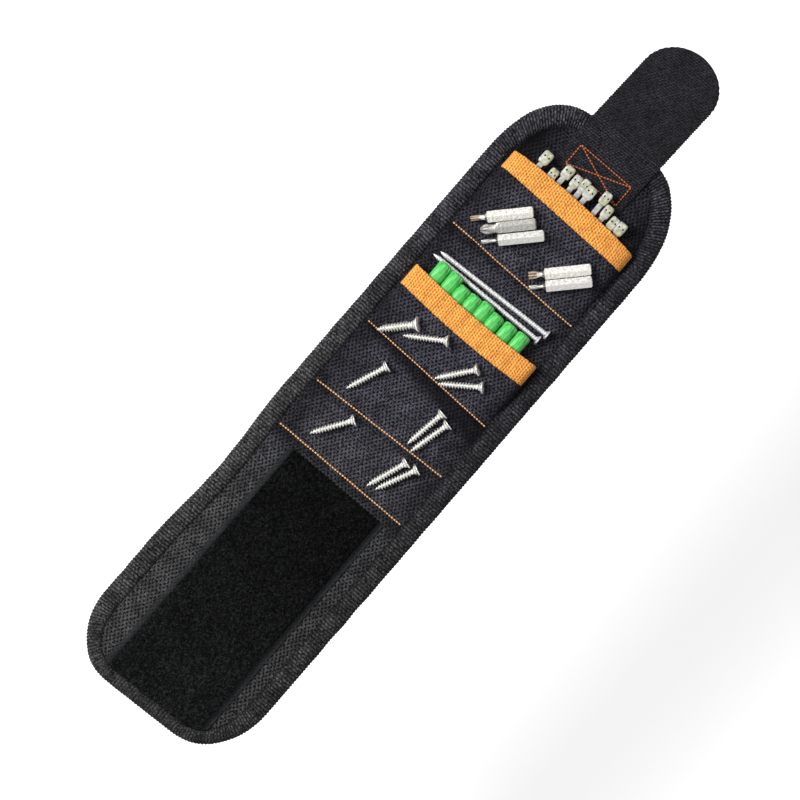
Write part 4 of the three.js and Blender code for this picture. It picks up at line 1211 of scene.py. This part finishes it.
def tie_parts(width):
    """A cable tie's head and tail, with its head at the origin and its tail along -X."""
    outline = TIE_HEAD + [(x, -y) for x, y in TIE_HEAD[::-1]]
    head = np.array([[(a * x, a * y * width, z) for x, y in outline] for a, z in TIE_HEAD_LEVELS])
    places = np.concatenate([[-2.0], np.arange(-3.4, -TIE_LENGTH, -0.8)])
    half = TIE_TAIL_HALF * np.clip((TIE_LENGTH + places) / 3 + 0.3, 0, 1)
    tooth = 0.08 * (np.arange(len(places)) % 2)
    ring = [(-1, -0.45), (-1, 0.4), (-0.6, 0.55), (0.6, 0.55), (1, 0.4), (1, -0.45)]
    tail = [[(x, y * w, z + t * (z > 0.5)) for y, z in ring] for x, w, t in zip(places, half, tooth)]
    return head, np.array(tail)[:, ::-1]


def tie_openings(width):
    """Two small flat discs on top of a tie's head, where its openings are, to carry their painted shadow."""
    angles = np.linspace(0, 2 * math.pi, 9)[:-1]
    places = [(0.4, side, 1.7) for side in (-1.15, 1.15)]
    reach = np.array([(0.5 * math.cos(angle), 0.45 * math.sin(angle), 0) for angle in angles])
    return [np.array([[place] * 8, place + reach]) * [1, width, 1] for place in places]


def build_ties():
    depth = TIE_LENGTH - TIE_OUT * min(out for out, *_ in TIES)
    root = TIE_ROOT_Z + depth * math.sin(TIE_TILT)
    mouth = Matrix.Translation((SEAM_X[3] + tie_pocket.reach, 0, root)) @ Matrix.Rotation(-TIE_TILT, 4, "Y")
    heads, tails, openings = [], [], []
    for k, (out, across, width, turn) in enumerate(TIES):
        place = (out * TIE_OUT, across * TIE_ACROSS, TIE_STAGGER * (k % 2))
        spin = np.array(mouth @ Matrix.Translation(place) @ Matrix.Rotation(math.radians(turn), 4, "Z"))
        head, tail = tie_parts(width)
        holes = tie_openings(width)
        for grid, kept in ((head, heads), (tail, tails), (holes[0], openings), (holes[1], openings)):
            points = grid.reshape(-1, 3)
            faces = grid_faces(*grid.shape[:2], wrap=True)
            uvs = points[:, :2] + [0, 10 * k]
            kept.append((points @ spin[:3, :3].T + spin[:3, 3], faces, uvs))
    for name, parts, material in (("heads", heads, tie_nylon), ("tails", tails, tail_nylon)):
        piece = make_mesh(f"tie_{name}", *joined(parts), material, sharp=math.radians(40))
        placed(piece, "cable_ties", "tie_plastic", "cable_ties")
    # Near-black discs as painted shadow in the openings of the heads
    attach(make_mesh("tie_openings", *joined(openings), tie_opening_shadow), "cable_ties")


for k in range(10):
    node = f"screw_{k + 1}"
    build_screw(node, *(LARGE_SCREW if node == LARGE_NODE else SMALL_SCREW))
build_nails()
build_bits()
build_plugs()
build_ties()

for name, node in frame["nodes"].items():
    if "magnet" in name:
        node.data.materials.clear()
        node.data.materials.append(magnet_plate)


# Stage, light and camera

FLOOR_Z = -0.26
FLOOR_LIFT = 0.5
FLOOR_HALF = 3000.0
KEY_POWER, KEY_SIZE = 11.5, 0.4
KEY_PLACE = (-0.15, 0.65, 0.8)
WORLD_LEVEL = 0.4
VIEW_WIDTH = 0.3538
LENS, SENSOR = 100.0, 36.0
VIEW_CENTRE = (-0.0116, 0.0013, 0.004)
VIEW_ANGLE = math.radians(-49.2)


def seen_directly(graph):
    """1 for what the camera sees, also in reflections and through what is clear."""
    path = graph.add("ShaderNodeLightPath").outputs
    seen = graph.larger(path["Is Camera Ray"], path["Is Glossy Ray"])
    return graph.larger(seen, path["Is Transmission Ray"])


def build_world():
    world = bpy.data.worlds.new("studio")
    bpy.context.scene.world = world
    graph = Graph(world)
    graph.tree.nodes.clear()
    plain, white = (
        graph.add("ShaderNodeBackground", {"Color": (1, 1, 1, 1), "Strength": level}).outputs[0]
        for level in (WORLD_LEVEL, 1.0)
    )
    mixed = graph.add("ShaderNodeMixShader", {0: seen_directly(graph), 1: plain, 2: white}).outputs[0]
    graph.add("ShaderNodeOutputWorld", {"Surface": mixed})


def build_stage():
    graph = Surface("pale_floor", roughness=0.9, specular=0.1)
    graph.colour((0.86, 0.86, 0.86, 1))
    graph.join((1, 1, 1, 1), graph.shader.inputs["Emission Color"])
    lift = graph.times(seen_directly(graph), FLOOR_LIFT)
    graph.join(lift, graph.shader.inputs["Emission Strength"])
    corners = FLOOR_HALF * np.array([(-1, -1), (1, -1), (1, 1), (-1, 1)])
    points = np.column_stack([corners, np.full(4, FLOOR_Z / MM)])
    floor = make_mesh("floor", points, [[0, 1, 2, 3]], corners, graph.material)

    light = bpy.data.lights.new("key", "AREA")
    light.energy, light.shape, light.size = KEY_POWER, "DISK", KEY_SIZE
    lamp = bpy.data.objects.new("key", light)
    lamp.location = KEY_PLACE
    lamp.rotation_euler = (-lamp.location).to_track_quat("-Z", "Y").to_euler()

    camera = bpy.data.objects.new("camera", bpy.data.cameras.new("camera"))
    camera.data.lens, camera.data.sensor_width = LENS, SENSOR
    camera.location = Vector(VIEW_CENTRE) + Vector((0, 0, VIEW_WIDTH * LENS / SENSOR))
    camera.rotation_euler = (0, 0, VIEW_ANGLE)
    bpy.context.scene.camera = camera
    for item in (lamp, camera):
        bpy.context.scene.collection.objects.link(item)
    bpy.context.scene.view_settings.view_transform = "Standard"


build_world()
build_stage()
